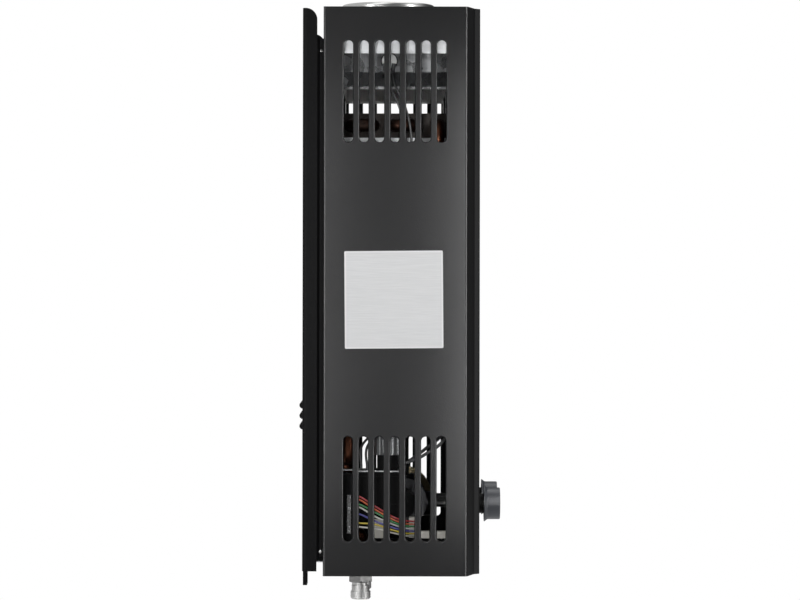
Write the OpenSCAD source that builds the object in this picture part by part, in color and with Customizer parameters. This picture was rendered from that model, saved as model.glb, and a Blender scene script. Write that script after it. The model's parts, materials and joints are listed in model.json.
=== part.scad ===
// Wall-hung tankless gas water heater, taken apart into its real pieces.
// Millimetres, +Z up. The wall is the plane Y = 0 and the front faces -Y.
// The origin lies midway between the two hanging keyholes of the back plate.

/* [Case] */
// Width of the cover over its two side panels
case_w = 340; // [330:2:380]
// Height of the cover
case_h = 590; // [580:2:640]
// Depth from the wall to the front panel
case_d = 184.5; // [180:0.5:200]
// Thickness of the cover's steel sheet
sheet = 1; // [0.8:0.1:1.4]
// Depth from the wall to the cover's rear edge
cover_back = 21.5; // [20:0.5:24]
// Width of the shoulder that slopes in towards the front panel
shoulder_in = 24; // [16:1:34]
// How far the shoulder comes forward over its width
shoulder_rise = 8; // [5:0.5:11]
// Width of the steeper step up to the front panel
step_in = 6; // [4:0.5:9]
// How far that step comes forward
step_rise = 6; // [3:0.5:8]
// Outside radius of the cover's long bends
bend_r = 4; // [2.5:0.5:6]
// Width of the cover's inturned top and bottom edges
lip_w = 14; // [12:1:18]
// Width of the rolled hem on the cover's rear edges
hem_w = 3; // [2:0.5:4]

/* [Vents] */
// Number of slots in each group
vent_n = 7; // [5:1:7]
// Spacing of the slots
vent_pitch = 16.1; // [14.5:0.1:16.5]
// Clear width of a slot
vent_open = 9.2; // [8:0.2:9.6]
// Radius of the rolled rim round a slot
rim_r = 2.2; // [1.6:0.1:2.4]
// How deep the rolled rim stands into the case
rim_depth = 3.2; // [2.8:0.1:3.4]
// Depth from the wall to the middle of the first slot
vent_back = 47.4; // [44:0.2:52]
// Length of an upper slot over its rim
upper_vent_len = 109.8; // [90:1:115]
// Drop from the case top to the upper slots
upper_vent_drop = 32.8; // [28:1:40]
// Length of a lower slot over its rim
lower_vent_len = 113; // [90:1:118]
// Height of the lower slots above the case bottom
lower_vent_rise = 33.8; // [28:1:40]

/* [Back plate] */
// Thickness of the back plate
plate_t = 1.2; // [1:0.1:1.6]
// Depth of the side flanges that show behind the cover
flange_d = 15; // [12:0.5:17]
// How far the inner tongues reach past the cover's rear edge
tongue_reach = 12; // [8:1:16]
// Height of the plate's lower edge above the case bottom
plate_rise = 5; // [3:1:10]
// Gap from the case top to the plate's upper edge
plate_drop = 1.6; // [1:0.2:4]
// Radius of the flange's front top corner
flange_corner_r = 12; // [8:1:12]
// Spacing of the two hanging keyholes
keyhole_span = 140; // [120:5:160]
// Drop from the case top to the keyholes
keyhole_drop = 30; // [26:1:36]
// Diameter of a keyhole's round part
keyhole_d = 12; // [11:0.5:14]
// Width of a keyhole's slot
keyhole_slot = 6.5; // [5:0.5:7]
// Spacing of the two lower fixing ears
ear_span = 250; // [230:5:260]
// Width of a lower ear
ear_w = 26; // [22:1:30]
// How far an ear reaches below the case
ear_drop = 12.5; // [10:0.5:16]
// Diameter of the hole in an ear
ear_hole_d = 7; // [6:0.5:8]
// How far the rear standoff ribs stand out of the plate
rib_proud = 3.1; // [2:0.1:4]

/* [Flue] */
// Outside diameter of the flue collar
flue_d = 101; // [95:1:104]
// Height of the flue collar above the case
flue_stand = 16; // [12:1:24]
// Depth from the wall to the flue's middle
flue_back = 88; // [84:1:92]
// Wall thickness of the collar
flue_t = 0.8; // [0.6:0.1:1.2]

/* [Heat exchanger] */
// Width of the exchanger, chamber and burner
core_w = 236; // [224:2:240]
// Depth of the exchanger, chamber and burner
core_d = 108; // [104:1:112]
// Depth from the wall to the middle of the core
core_back = 95; // [93:0.5:97]
// Thickness of the core's copper and steel sheet
core_t = 0.8; // [0.6:0.1:1]
// Drop from the case top to the top of the exchanger
core_drop = 108; // [104:1:112]
// Height of the finned exchanger block
exch_h = 26; // [24:1:30]
// Height of the combustion chamber
chamber_h = 166; // [150:2:170]
// Height of the burner tray
tray_h = 90; // [80:2:100]
// Outside diameter of the water pipes
pipe_d = 14; // [12:0.5:14]
// Wall thickness of the water pipes
pipe_t = 1; // [0.7:0.1:1.4]
// Spacing of the exchanger's straight tubes
tube_pitch = 22.5; // [21:0.5:23]
// Spacing of the fins
fin_pitch = 6; // [5:0.5:9]
// Thickness of a fin
fin_t = 0.5; // [0.3:0.1:0.8]

/* [Draft hood] */
// Height of the draft gap between exchanger and hood
draft_gap = 24.5; // [20:0.5:26]
// Height of the draft hood
hood_h = 39; // [35:1:40]
// Width of the hood over its skirt
hood_w = 262; // [250:2:270]

/* [Knobs and valves] */
// Distance from the middle of the front to a knob's axis
knob_x = 48; // [46:1:50]
// Height of the knob axes above the case bottom
knob_rise = 66.6; // [64:0.2:70]
// Diameter of a knob's cap
knob_d = 34; // [30:0.5:36]
// Diameter of the skirt at a knob's base
knob_skirt_d = 38.7; // [37:0.1:42]
// Depth of a knob
knob_depth = 17.2; // [15:0.1:20]
// Gap between the front panel and a knob
knob_gap = 7.3; // [6:0.1:9]
// Diameter of the bush behind a knob
bush_d = 21; // [19:0.5:23]
// Diameter of a knob spindle
spindle_d = 8; // [7:0.5:9]
// Running clearance of turning and sliding parts, on the radius
run_gap = 0.06; // [0.03:0.01:0.09]

/* [Connections] */
// Distance of the hot and cold connections from the middle
port_x = 100; // [96:1:104]
// Depth from the wall to the connections
port_back = 60; // [57:1:62]
// Outside diameter of the half-inch pipe thread
thread_d = 20.96; // [20:0.02:21.5]
// Length of the thread
thread_len = 7; // [6:0.5:9]
// Drop from the case bottom to the end of a connection
port_drop = 30.5; // [27:0.5:36]
// Water bore of a connection
port_bore = 12; // [10:0.5:13]

/* [Hidden] */
$fn = 64;
// Overlap that makes a cut pass right through
cut = 0.5;
// Small gap between pieces that lie against each other
seat_gap = 0.3;
// Flat pieces of a polygon's bend
bend_steps = 6;

paint = "#26282a";
dark_paint = "#1b1c1e";
zinc = "#a9adb0";
stainless = "#c9ccce";
copper = "#9a5f3c";
tinned = "#5d564f";
brass = "#b39248";
black_plastic = "#141516";
slate_plastic = "#4c4f55";
ceramic = "#e6e2d8";

// Levels of the stacked pieces, above the case bottom
hang_z = case_h - keyhole_drop;
exch_top = case_h - core_drop;
exch_z = exch_top - exch_h;
chamber_z = exch_z - chamber_h;
tray_z = chamber_z - tray_h;
hood_z = exch_top + draft_gap;
hood_top = hood_z + hood_h;

// Depths of the case and the core, as places on the Y axis
front_y = -case_d;
front_in_y = front_y + sheet;
bend_y = -(case_d - step_rise - shoulder_rise);
rear_y = -cover_back;
core_y = -core_back;
core_front_y = core_y - core_d / 2;
core_rear_y = core_y + core_d / 2;
flue_y = -flue_back;
port_y = -port_back;

// Moves the model so that the keyholes lie at the origin's height
module hung() { translate([0, 0, -hang_z]) children(); }
// Lays a cylinder's axis along X or along Y, pointing to the front
module along_x() { rotate([0, 90, 0]) children(); }
module to_front() { rotate([90, 0, 0]) children(); }
// The same piece on the left and on the right
module both_sides() {
  children();
  mirror([1, 0, 0]) children();
}

function unit(v) = v / norm(v);
function side_normal(a, b) = let (d = unit(b - a)) [-d.y, d.x];
function backwards(path) = [for (i = [len(path) - 1 : -1 : 0]) path[i]];
function mirrored(path) = [for (p = backwards(path)) [-p.x, p.y]];
function turn(a) = a > 180 ? a - 360 : a < -180 ? a + 360 : a;

// A bent sheet's other face: the path moved to its left by t
function shifted(path, t) = let (last = len(path) - 1) [
  for (i = [0 : last])
    let (
      before = side_normal(path[max(i - 1, 0)], path[max(i, 1)]),
      after = side_normal(path[min(i, last - 1)], path[min(i + 1, last)])
    )
    path[i] + (before + after) * t / (1 + before * after)
];

// The arc of radius r that rounds the corner b
function corner(a, b, c, r) =
  let (
    u = unit(a - b),
    v = unit(c - b),
    half = acos(u * v) / 2,
    mid = b + unit(u + v) * r / sin(half),
    from = b + u * r / tan(half) - mid,
    to = b + v * r / tan(half) - mid,
    start = atan2(from.y, from.x),
    sweep = turn(atan2(to.y, to.x) - start)
  )
  [for (s = [0 : bend_steps]) let (a = start + sweep * s / bend_steps) mid + r * [cos(a), sin(a)]];

// A path with the corners between its ends rounded, a radius of 0 leaving one sharp
function rounded(path, radii) = [
  for (i = [0 : len(path) - 1])
    each radii[i] == 0 ? [path[i]] : corner(path[i - 1], path[i], path[i + 1], radii[i])
];

// Outer face of the cover in plan, from the left rear edge to the right one
hem_r = 2;
side_path = [
  [-case_w / 2, bend_y],
  [-case_w / 2 + shoulder_in, bend_y - shoulder_rise],
  [-case_w / 2 + shoulder_in + step_in, front_y],
];
hem_path = [[-case_w / 2 + hem_w, rear_y], [-case_w / 2, rear_y]];
cover_path = concat(hem_path, side_path, mirrored(side_path), mirrored(hem_path));
cover_r = [0, hem_r, bend_r, bend_r, bend_r, bend_r, bend_r, bend_r, hem_r, 0];
bend_sign = [0, -1, -1, 1, -1, -1, 1, -1, -1, 0];
lip_start = [[-case_w / 2, rear_y - hem_w]];
lip_path = concat(lip_start, side_path, mirrored(side_path), mirrored(lip_start));
lip_r = [0, bend_r, bend_r, bend_r, bend_r, bend_r, bend_r, 0];

// Slot groups as [middle height, length over the rim]
vent_groups = [
  [case_h - upper_vent_drop - upper_vent_len / 2, upper_vent_len],
  [lower_vent_rise + lower_vent_len / 2, lower_vent_len],
];
vent_half = vent_open / 2 + rim_r;
// The rolled rim starts a little below the tangent, as a pressed edge does
rim_sink = 0.9 * rim_r;

// Half of a slot's clear section: across the slot, then into the case
module vent_section() {
  difference() {
    translate([0, -cut]) square([vent_half, rim_depth + 2 * cut]);
    translate([vent_half, rim_sink]) circle(rim_r);
    translate([vent_open / 2, rim_sink]) square([rim_r + cut, rim_depth + 2 * cut]);
  }
}

// The clear space of one slot with its rolled lead-in, its long side along Y
module vent_slot(straight) {
  translate([0, straight / 2, 0]) rotate([90, 0, 0]) linear_extrude(straight) {
    vent_section();
    mirror([1, 0]) vent_section();
  }
  for (end = [0, 180])
    rotate([0, 0, end]) translate([0, straight / 2, 0])
      rotate_extrude(angle = 180) vent_section();
}

// The lip that the rolled rim leaves inside the case
module vent_lip(straight) {
  lip_half = vent_open / 2 + sheet;
  linear_extrude(rim_depth) {
    square([2 * lip_half, straight], center = true);
    for (end = [-1, 1]) translate([0, end * straight / 2]) circle(lip_half);
  }
}

// Sets a slot or its lip at every place on the left side panel
module at_vents(lips) {
  for (group = vent_groups)
    for (i = [0 : vent_n - 1])
      translate([-case_w / 2, -vent_back - i * vent_pitch, group[0]])
        rotate(a = 120, v = [1, 1, 1])
          if (lips) vent_lip(group[1] - 2 * vent_half);
          else vent_slot(group[1] - 2 * vent_half);
}

// One wrapped sheet: side panels, sloping shoulders, front panel and inturned edges
module front_cover() {
  wall = concat(
    rounded(cover_path, cover_r),
    backwards(rounded(shifted(cover_path, sheet), cover_r + bend_sign * sheet))
  );
  lip = concat(rounded(lip_path, lip_r), backwards(shifted(lip_path, lip_w)));
  color(paint)
    difference() {
      union() {
        linear_extrude(case_h) polygon(wall);
        for (z = [0, case_h - sheet]) translate([0, 0, z]) linear_extrude(sheet) polygon(lip);
        both_sides() at_vents(lips = true);
      }
      both_sides() at_vents(lips = false);
      for (side = [-1, 1]) at_knob(side) translate([0, 0, -knob_gap - 2 * sheet])
        cylinder(d = bush_neck_d + 2 * tube_hole_gap, h = 4 * sheet);
      translate([0, front_y, display_z]) cube([display_w, 4 * sheet, display_h], center = true);
      at_top_screws() translate([0, 0, -2 * sheet]) cylinder(d = screw_hole_d, h = 4 * sheet);
      at_bottom_screws() translate([0, 0, -2 * sheet]) cylinder(d = screw_hole_d, h = 4 * sheet);
    }
}

// Back plate: a flat pan with side flanges, joggled tongues, keyholes, ears and standoff ribs
plate_top = case_h - plate_drop;
tongue_in = 5;
tongue_low = 20;
tongue_high = case_h - 33;
tongue_y = rear_y - tongue_reach;
tongue_half = case_w / 2 - tongue_in;
rib_r = 3.6;
rib_len = 60;
rib_pitch = 10.8;
rib_rise = 166;
ear_hole_rise = -3;
ear_lip = 4.4;

module keyhole() {
  rise = keyhole_d;
  to_front() {
    translate([0, 0, -cut]) cylinder(d = keyhole_d, h = plate_t + 2 * cut);
    translate([0, rise, -cut]) cylinder(d = keyhole_slot, h = plate_t + 2 * cut);
    translate([-keyhole_slot / 2, 0, -cut]) cube([keyhole_slot, rise, plate_t + 2 * cut]);
  }
}

// A pressed rib behind the plate, hollow from the front
module standoff_rib(r) {
  along_x() cylinder(r = r, h = rib_len);
  sphere(r);
  translate([rib_len, 0, 0]) sphere(r);
}

module at_ribs() {
  both_sides()
    for (i = [-1, 0, 1])
      translate([case_w / 2 - rib_len - 2 * rib_r, rib_proud - rib_r, rib_rise + i * rib_pitch])
        children();
}

module back_plate() {
  pan = [[-case_w / 2, -flange_d], [-case_w / 2, 0], [case_w / 2, 0], [case_w / 2, -flange_d]];
  pan_r = [0, bend_r, bend_r, 0];
  pan_wall = concat(
    rounded(pan, pan_r),
    backwards(rounded(shifted(pan, -plate_t), [0, bend_r - plate_t, bend_r - plate_t, 0]))
  );
  tongue = [
    [-tongue_half, tongue_y],
    [-tongue_half, -flange_d - tongue_in / 2],
    [-case_w / 2, -flange_d],
    [-case_w / 2, -flange_d / 2],
  ];
  color(dark_paint)
    difference() {
      union() {
        translate([0, 0, plate_rise]) linear_extrude(plate_top - plate_rise) polygon(pan_wall);
        both_sides() {
          translate([0, 0, tongue_low]) linear_extrude(tongue_high - tongue_low)
            polygon(concat(tongue, backwards(shifted(tongue, -plate_t))));
          translate([-ear_span / 2 - ear_w / 2, -plate_t, -ear_drop])
            cube([ear_w, plate_t, ear_drop + 2 * plate_rise]);
          translate([-ear_span / 2 - ear_w / 2, -ear_lip, -ear_drop]) cube([ear_w, ear_lip, plate_t]);
          for (x = [-ear_w / 2, ear_w / 2 - plate_t])
            translate([x - ear_span / 2, -ear_lip, -ear_drop])
              cube([plate_t, ear_lip, ear_drop + 2 * plate_rise]);
        }
        intersection() {
          at_ribs() standoff_rib(rib_r);
          translate([-case_w / 2, -plate_t / 2, 0]) cube([case_w, rib_proud + plate_t, case_h]);
        }
      }
      at_ribs() standoff_rib(rib_r - plate_t);
      both_sides() {
        translate([keyhole_span / 2, 0, hang_z]) keyhole();
        translate([ear_span / 2, cut, ear_hole_rise]) to_front()
          cylinder(d = ear_hole_d, h = plate_t + 2 * cut);
        translate([case_w / 2 - 2 * plate_t, -flange_d, plate_top]) flange_corner();
        translate([case_w / 2 - 2 * tongue_in, tongue_y, tongue_low]) rotate([45, 0, 0])
          cube([3 * tongue_in, 2 * tongue_in, 2 * tongue_in], center = true);
      }
    }
}

// What is cut away to round the flange's front top corner
module flange_corner() {
  rotate([90, 0, 90]) linear_extrude(3 * plate_t) difference() {
    translate([-cut, -flange_corner_r]) square([flange_corner_r + cut, flange_corner_r + cut]);
    translate([flange_corner_r, -flange_corner_r]) circle(flange_corner_r);
  }
}

// Top bracket: galvanised sheet under the cover's top edge, with side flanges behind the slots
top_z = case_h - 2 * sheet;
top_half = tongue_half - plate_t - seat_gap;
top_flange_h = 46;
top_front_y = front_y + 3 * sheet;
flue_neck_d = flue_d - 2;
flue_hole_d = flue_neck_d + 1;

module top_plate() {
  flange_back = cover_back + hem_w + 2;
  flange_len = case_d - flange_back - 34;
  color(zinc)
    difference() {
      union() {
        translate([0, 0, top_z]) linear_extrude(sheet) polygon([
          [-top_half, -flange_back],
          [-top_half, bend_y + bend_r],
          [-case_w / 2 + shoulder_in + step_in + lip_w / 2, top_front_y],
          [case_w / 2 - shoulder_in - step_in - lip_w / 2, top_front_y],
          [top_half, bend_y + bend_r],
          [top_half, -flange_back],
        ]);
        both_sides()
          translate([-top_half, -flange_back - flange_len, top_z - top_flange_h])
            cube([sheet, flange_len, top_flange_h + sheet]);
      }
      translate([0, flue_y, top_z - cut]) cylinder(d = flue_hole_d, h = sheet + 2 * cut);
      at_top_screws() translate([0, 0, -4 * sheet]) cylinder(d = screw_hole_d, h = 4 * sheet);
    }
}

// Bottom bracket: carries the connections and the battery box, and hooks to the back plate
bottom_z = sheet;
bottom_half = case_w / 2 - 12;
bottom_tab_half = 28;
bottom_rear_h = 22;
port_hole_d = 24;
drain_x = 72;
drain_y = -108;
drain_hole_d = 18;

module bottom_plate() {
  color(zinc)
    difference() {
      union() {
        translate([0, 0, bottom_z]) linear_extrude(sheet) polygon([
          [-bottom_tab_half, -plate_t],
          [-bottom_tab_half, rear_y - hem_w],
          [-bottom_half, rear_y - hem_w],
          [-bottom_half, bend_y + bend_r],
          [-case_w / 2 + shoulder_in + step_in + lip_w / 2, top_front_y],
          [case_w / 2 - shoulder_in - step_in - lip_w / 2, top_front_y],
          [bottom_half, bend_y + bend_r],
          [bottom_half, rear_y - hem_w],
          [bottom_tab_half, rear_y - hem_w],
          [bottom_tab_half, -plate_t],
        ]);
        translate([-bottom_tab_half, -plate_t - sheet, bottom_z])
          cube([2 * bottom_tab_half, sheet, bottom_rear_h]);
      }
      for (x = [-port_x, 0, port_x])
        translate([x, port_y, 0]) cylinder(d = port_hole_d, h = 4 * sheet);
      translate([drain_x, drain_y, 0]) cylinder(d = drain_hole_d, h = 4 * sheet);
      translate([box_x, box_y, bottom_z - cut]) cube([box_w, box_d + hinge_room, sheet + 2 * cut]);
      at_bottom_screws() translate([0, 0, -cut]) cylinder(d = screw_hole_d, h = 4 * sheet + 2 * cut);
    }
}

// Pan-head screws that hold the cover's edges to the two brackets
screw_d = 4;
screw_hole_d = screw_d + 0.4;
screw_head_d = 8;
screw_head_h = 2.4;
screw_len = 8;
// From the front panel's edge to a screw
screw_in = 18;
screw_x = case_w / 2 - shoulder_in - step_in - screw_in;

module at_top_screws() {
  both_sides() translate([screw_x, front_y + lip_w / 2 + 1, case_h]) children();
}
module at_bottom_screws() {
  both_sides() translate([screw_x, front_y + lip_w / 2 + 1, 0]) children();
}

// A pan head above Z = 0 with its shank below, cross-slotted
module pan_screw() {
  difference() {
    union() {
      translate([0, 0, -screw_len]) cylinder(d = screw_d, h = screw_len);
      intersection() {
        cylinder(d = screw_head_d, h = screw_head_h);
        translate([0, 0, screw_head_h - screw_head_d]) sphere(screw_head_d);
      }
    }
    for (a = [0, 90]) rotate([0, 0, a])
      translate([-screw_head_d / 4, -0.5, screw_head_h - 1.2]) cube([screw_head_d / 2, 1, 2]);
  }
}

module cover_screws() {
  color(dark_paint) {
    at_top_screws() pan_screw();
    at_bottom_screws() rotate([180, 0, 0]) pan_screw();
  }
}

// Flue collar: a stainless spigot with a rolled top edge, seated on the hood's roof
flue_roll = 2.5;
flue_flange_d = flue_d + 14;

module flue_collar() {
  r = flue_d / 2;
  neck = flue_neck_d / 2;
  top = case_h + flue_stand;
  shelf = case_h - sheet;
  color(stainless)
    translate([0, flue_y, 0]) rotate_extrude() {
      translate([neck - flue_t, hood_top]) square([flue_t, shelf - hood_top + flue_t]);
      translate([neck - flue_t, shelf]) square([r - neck + flue_t, flue_t]);
      translate([r - flue_t, shelf]) square([flue_t, top - flue_roll - shelf]);
      translate([neck - flue_t, hood_top]) square([flue_flange_d / 2 - neck + flue_t, flue_t]);
      translate([r - flue_roll, top - flue_roll]) intersection() {
        difference() {
          circle(flue_roll);
          circle(flue_roll - flue_t);
        }
        square(flue_roll);
      }
    }
}

function dir(a, b) = unit(b - a);
function same(value, n) = [for (i = [1 : n]) value];
function upright(d) = abs(d.z) < 0.9 ? [0, 0, 1] : [1, 0, 0];

// Turns local X, Y and Z to the three directions given and moves the piece to a place
module turned(x, y, z, place) {
  multmatrix([
    [x.x, y.x, z.x, place.x],
    [x.y, y.y, z.y, place.y],
    [x.z, y.z, z.z, place.z],
    [0, 0, 0, 1],
  ]) children();
}

// A bar with its section as the child, along runs at right angles with an arc at each inner point
module bar_run(path, bends) {
  last = len(path) - 1;
  trim = concat(0, bends, 0);
  for (i = [0 : last - 1]) {
    d = dir(path[i], path[i + 1]);
    side = cross(upright(d), d);
    len = norm(path[i + 1] - path[i]) - trim[i] - trim[i + 1];
    turned(side, cross(d, side), d, path[i] + d * trim[i]) linear_extrude(len) children();
  }
  for (i = [1 : 1 : last - 1]) {
    d = dir(path[i - 1], path[i]);
    inward = dir(path[i], path[i + 1]);
    turned(-inward, d, cross(-inward, d), path[i] + (inward - d) * trim[i])
      rotate_extrude(angle = 90) translate([trim[i], 0]) children();
  }
}

module pipe_section(d, wall) {
  difference() {
    circle(d = d);
    circle(d = d - 2 * wall);
  }
}

// Draft hood: a skirted box over the exchanger that gathers the flue gas under the collar
hood_lip_h = 3;
hood_slope_h = 16;
hood_in = 13;
strap_w = 14;
strap_x = 80;
strap_lap = 10;

module draft_hood() {
  half = hood_w / 2;
  roof_half = half - hood_in;
  side = [[-half, 0], [-half, hood_lip_h], [-roof_half, hood_lip_h + hood_slope_h], [-roof_half, hood_h]];
  outer = concat(side, mirrored(side));
  inner = shifted(outer, -core_t);
  color(zinc)
    translate([0, core_rear_y + core_t, 0]) {
      difference() {
        translate([0, 0, hood_z]) to_front() linear_extrude(core_d + 2 * core_t) polygon(outer);
        translate([0, -core_t, hood_z]) to_front() linear_extrude(core_d) polygon(inner);
        translate([0, -core_t, hood_z - cut]) mirror([0, 1, 0])
          translate([-half + core_t, 0, 0]) cube([2 * half - 2 * core_t, core_d, 2 * cut]);
        translate([0, flue_y - core_rear_y - core_t, hood_top - 2 * core_t])
          cylinder(d = flue_neck_d - 2 * flue_t, h = 4 * core_t);
      }
      for (x = [-strap_x, strap_x])
        for (y = [-core_t, -core_d - 2 * core_t])
          translate([x - strap_w / 2, y, exch_top - strap_lap])
            cube([strap_w, core_t, draft_gap + 2 * strap_lap]);
    }
}

// Heat exchanger: frame, fins and a serpentine of tubes with return bends
tube_n = 5;
tube_end = core_w / 2 + 4;
tube_z = exch_z + exch_h / 2;
tube_y = [for (i = [0 : tube_n - 1]) core_y + (tube_n - 1) / 2 * tube_pitch - i * tube_pitch];
tube_hole_gap = 0.05;

module at_tubes() {
  for (y = tube_y) translate([0, y, tube_z]) children();
}

module exchanger_frame() {
  color(tinned)
    difference() {
      translate([-core_w / 2, core_front_y, exch_z]) cube([core_w, core_d, exch_h]);
      translate([-core_w / 2 + core_t, core_front_y + core_t, exch_z - cut])
        cube([core_w - 2 * core_t, core_d - 2 * core_t, exch_h + 2 * cut]);
      at_tubes() along_x() cylinder(d = pipe_d + 2 * tube_hole_gap, h = core_w + 2 * cut, center = true);
    }
}

module exchanger_fins() {
  fin_d = core_d - 2 * core_t - 2 * seat_gap;
  fin_h = exch_h - 2;
  count = floor((core_w - 16) / fin_pitch);
  color(copper)
    for (i = [0 : count])
      translate([(i - count / 2) * fin_pitch - fin_t / 2, 0, 0])
        rotate([90, 0, 90]) linear_extrude(fin_t) difference() {
          translate([core_y - fin_d / 2, exch_z + 1]) square([fin_d, fin_h]);
          for (y = tube_y) translate([y, tube_z]) circle(d = pipe_d + 2 * tube_hole_gap);
          for (y = tube_y) translate([y + tube_pitch / 2, exch_z + 1 + fin_h]) circle(d = tube_pitch / 3);
        }
}

// Straight tubes and return bends of one radius, without the bore
module serpentine(r, reach) {
  for (i = [0 : tube_n - 1])
    translate([-tube_end, tube_y[i], tube_z]) along_x() cylinder(r = r, h = 2 * tube_end);
  for (i = [0 : tube_n - 2])
    translate([(i % 2 == 0 ? -1 : 1) * tube_end, (tube_y[i] + tube_y[i + 1]) / 2, tube_z])
      rotate([0, 0, i % 2 == 0 ? 90 : -90])
        rotate_extrude(angle = 180) translate([tube_pitch / 2, 0]) circle(r);
  translate([tube_end, tube_y[0], tube_z]) along_x() cylinder(r = r, h = reach);
  translate([-tube_end - reach, tube_y[tube_n - 1], tube_z]) along_x() cylinder(r = r, h = reach);
}

module exchanger_tubes() {
  color(copper)
    difference() {
      serpentine(pipe_d / 2, 1);
      serpentine(pipe_d / 2 - pipe_t, 2);
    }
}

// Ring that clamps the exchanger to the chamber
ring_w = 7;
ring_h = 4;

module clamp_ring() {
  color(zinc)
    translate([0, core_y, exch_z - ring_h])
      difference() {
        translate([0, 0, ring_h / 2])
          cube([core_w + 2 * ring_w, core_d + 2 * ring_w, ring_h], center = true);
        translate([0, 0, ring_h / 2]) cube([core_w, core_d, ring_h + 2 * cut], center = true);
      }
}

// Combustion chamber: a straight copper duct between burner and exchanger
module round_rect(w, d, r) {
  square([w - 2 * r, d], center = true);
  square([w, d - 2 * r], center = true);
  for (x = [-1, 1], y = [-1, 1]) translate([x * (w / 2 - r), y * (d / 2 - r)]) circle(r);
}

module chamber() {
  // The corners follow the bends of the coil wound round them
  corner = pipe_bend - pipe_d / 2 - seat_gap;
  color(copper)
    translate([0, (core_front_y + core_rear_y) / 2, chamber_z])
      linear_extrude(chamber_h)
        difference() {
          round_rect(core_w, core_d, corner);
          round_rect(core_w - 2 * core_t, core_d - 2 * core_t, corner - core_t);
        }
}

// Burner tray with an inturned ledge that the bars stand on
ledge_w = 10;
bar_n = 9;
bar_pitch = 25;
bar_t = 12;
bar_h = 60;
bar_len = core_d - 2 * core_t - 2 * seat_gap;
bar_z = tray_z + core_t;
throat_z = bar_z + 14;
electrode_x = 25;
electrode_z = bar_z + bar_h + 11;
electrode_d = 7;

module at_bars() {
  for (i = [0 : bar_n - 1]) translate([(i - (bar_n - 1) / 2) * bar_pitch, 0, 0]) children();
}

module burner_tray() {
  color(zinc)
    difference() {
      translate([-core_w / 2, core_front_y, tray_z]) cube([core_w, core_d, tray_h]);
      translate([-core_w / 2 + core_t, core_front_y + core_t, tray_z + core_t])
        cube([core_w - 2 * core_t, core_d - 2 * core_t, tray_h]);
      translate([-core_w / 2 + ledge_w, core_front_y + ledge_w, tray_z - cut])
        cube([core_w - 2 * ledge_w, core_d - 2 * ledge_w, tray_h]);
      at_bars() translate([0, core_front_y + 2 * core_t, throat_z]) to_front()
        cylinder(d = nozzle_d + 4, h = 4 * core_t);
      both_sides() translate([electrode_x, core_front_y + 2 * core_t, electrode_z]) to_front()
        cylinder(d = electrode_d + 0.4, h = 4 * core_t);
    }
}

// Side view of one burner bar: a mixing tube that turns back under a slotted head
module bar_outline() {
  tube_h = 28;
  gap_h = 10;
  port_pitch = 7;
  port_w = 2.4;
  port_h = 7;
  turn_r = bar_h / 2;
  difference() {
    union() {
      square([bar_len - turn_r, bar_h]);
      translate([bar_len - turn_r, turn_r]) circle(turn_r);
    }
    translate([-cut, tube_h]) square([bar_len - turn_r + cut, gap_h]);
    translate([bar_len - turn_r, tube_h + gap_h / 2]) circle(d = gap_h);
    for (y = [port_pitch : port_pitch : bar_len - turn_r])
      translate([y, bar_h - port_h]) square([port_w, port_h + cut]);
  }
}

module burner_bars() {
  color(stainless)
    at_bars()
      translate([-bar_t / 2, core_front_y + core_t + seat_gap, bar_z])
        difference() {
          rotate([90, 0, 90]) linear_extrude(bar_t) bar_outline();
          translate([bar_t / 2, bar_len / 3, throat_z - bar_z]) to_front()
            cylinder(d = nozzle_d + 2, h = bar_len);
        }
}

// Gas manifold with one nozzle for each bar
manifold_d = 18;
manifold_y = core_front_y - manifold_d / 2 - 6;
nozzle_d = 6;
nozzle_in = 6;

module gas_manifold() {
  half = (bar_n - 1) / 2 * bar_pitch + manifold_d / 2;
  color(zinc)
    difference() {
      union() {
        translate([0, manifold_y, throat_z]) along_x()
          cylinder(d = manifold_d, h = 2 * half, center = true);
        at_bars() translate([0, core_front_y + nozzle_in, throat_z]) to_front()
          cylinder(d = nozzle_d, h = core_front_y + nozzle_in - manifold_y);
        at_bars() translate([0, core_front_y - core_t, throat_z]) to_front()
          cylinder(d = nozzle_d + 4, h = core_front_y - core_t - manifold_y);
      }
      translate([gas_x, manifold_y, throat_z - manifold_d])
        cylinder(d = gas_pipe_d + 2 * tube_hole_gap, h = manifold_d - 5);
    }
}

// Rails that carry the core on the back plate
rail_half = core_w / 2 - 28;
rail_h = 15;
rail_levels = [tray_z + 32, exch_z - 48];

module core_rails() {
  reach = -core_rear_y - plate_t;
  color(zinc)
    for (z = rail_levels)
      translate([-rail_half, core_rear_y, z]) {
        cube([2 * rail_half, plate_t, rail_h]);
        cube([2 * rail_half, reach, plate_t]);
        translate([0, reach - plate_t, 0]) cube([2 * rail_half, plate_t, rail_h]);
      }
}

// Igniter and flame sensor: ceramic rods with a wire tip over the burner
electrode_out = 25.5;
module electrode(tip) {
  ceramic_out = 20;
  ceramic_in = 14;
  collar = 4;
  to_front() {
    translate([0, 0, -ceramic_in]) cylinder(d = electrode_d, h = ceramic_in + ceramic_out);
    cylinder(d = 2 * electrode_d, h = collar);
    translate([0, 0, -ceramic_in - tip]) cylinder(d = 2, h = tip + cut);
    translate([0, 0, ceramic_out - cut]) cylinder(d = 3, h = electrode_out - ceramic_out + cut);
  }
}

module igniter() {
  color(ceramic) translate([-electrode_x, core_front_y, electrode_z]) electrode(tip = 22);
}

module flame_sensor() {
  color(ceramic) translate([electrode_x, core_front_y, electrode_z]) electrode(tip = 34);
}

// Overheat thermostat on the hood's left side
thermostat_y = -89.5;
thermostat_d = 18;
thermostat_x = -hood_w / 2 + hood_in;
thermostat_z = hood_top - 9;

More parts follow.
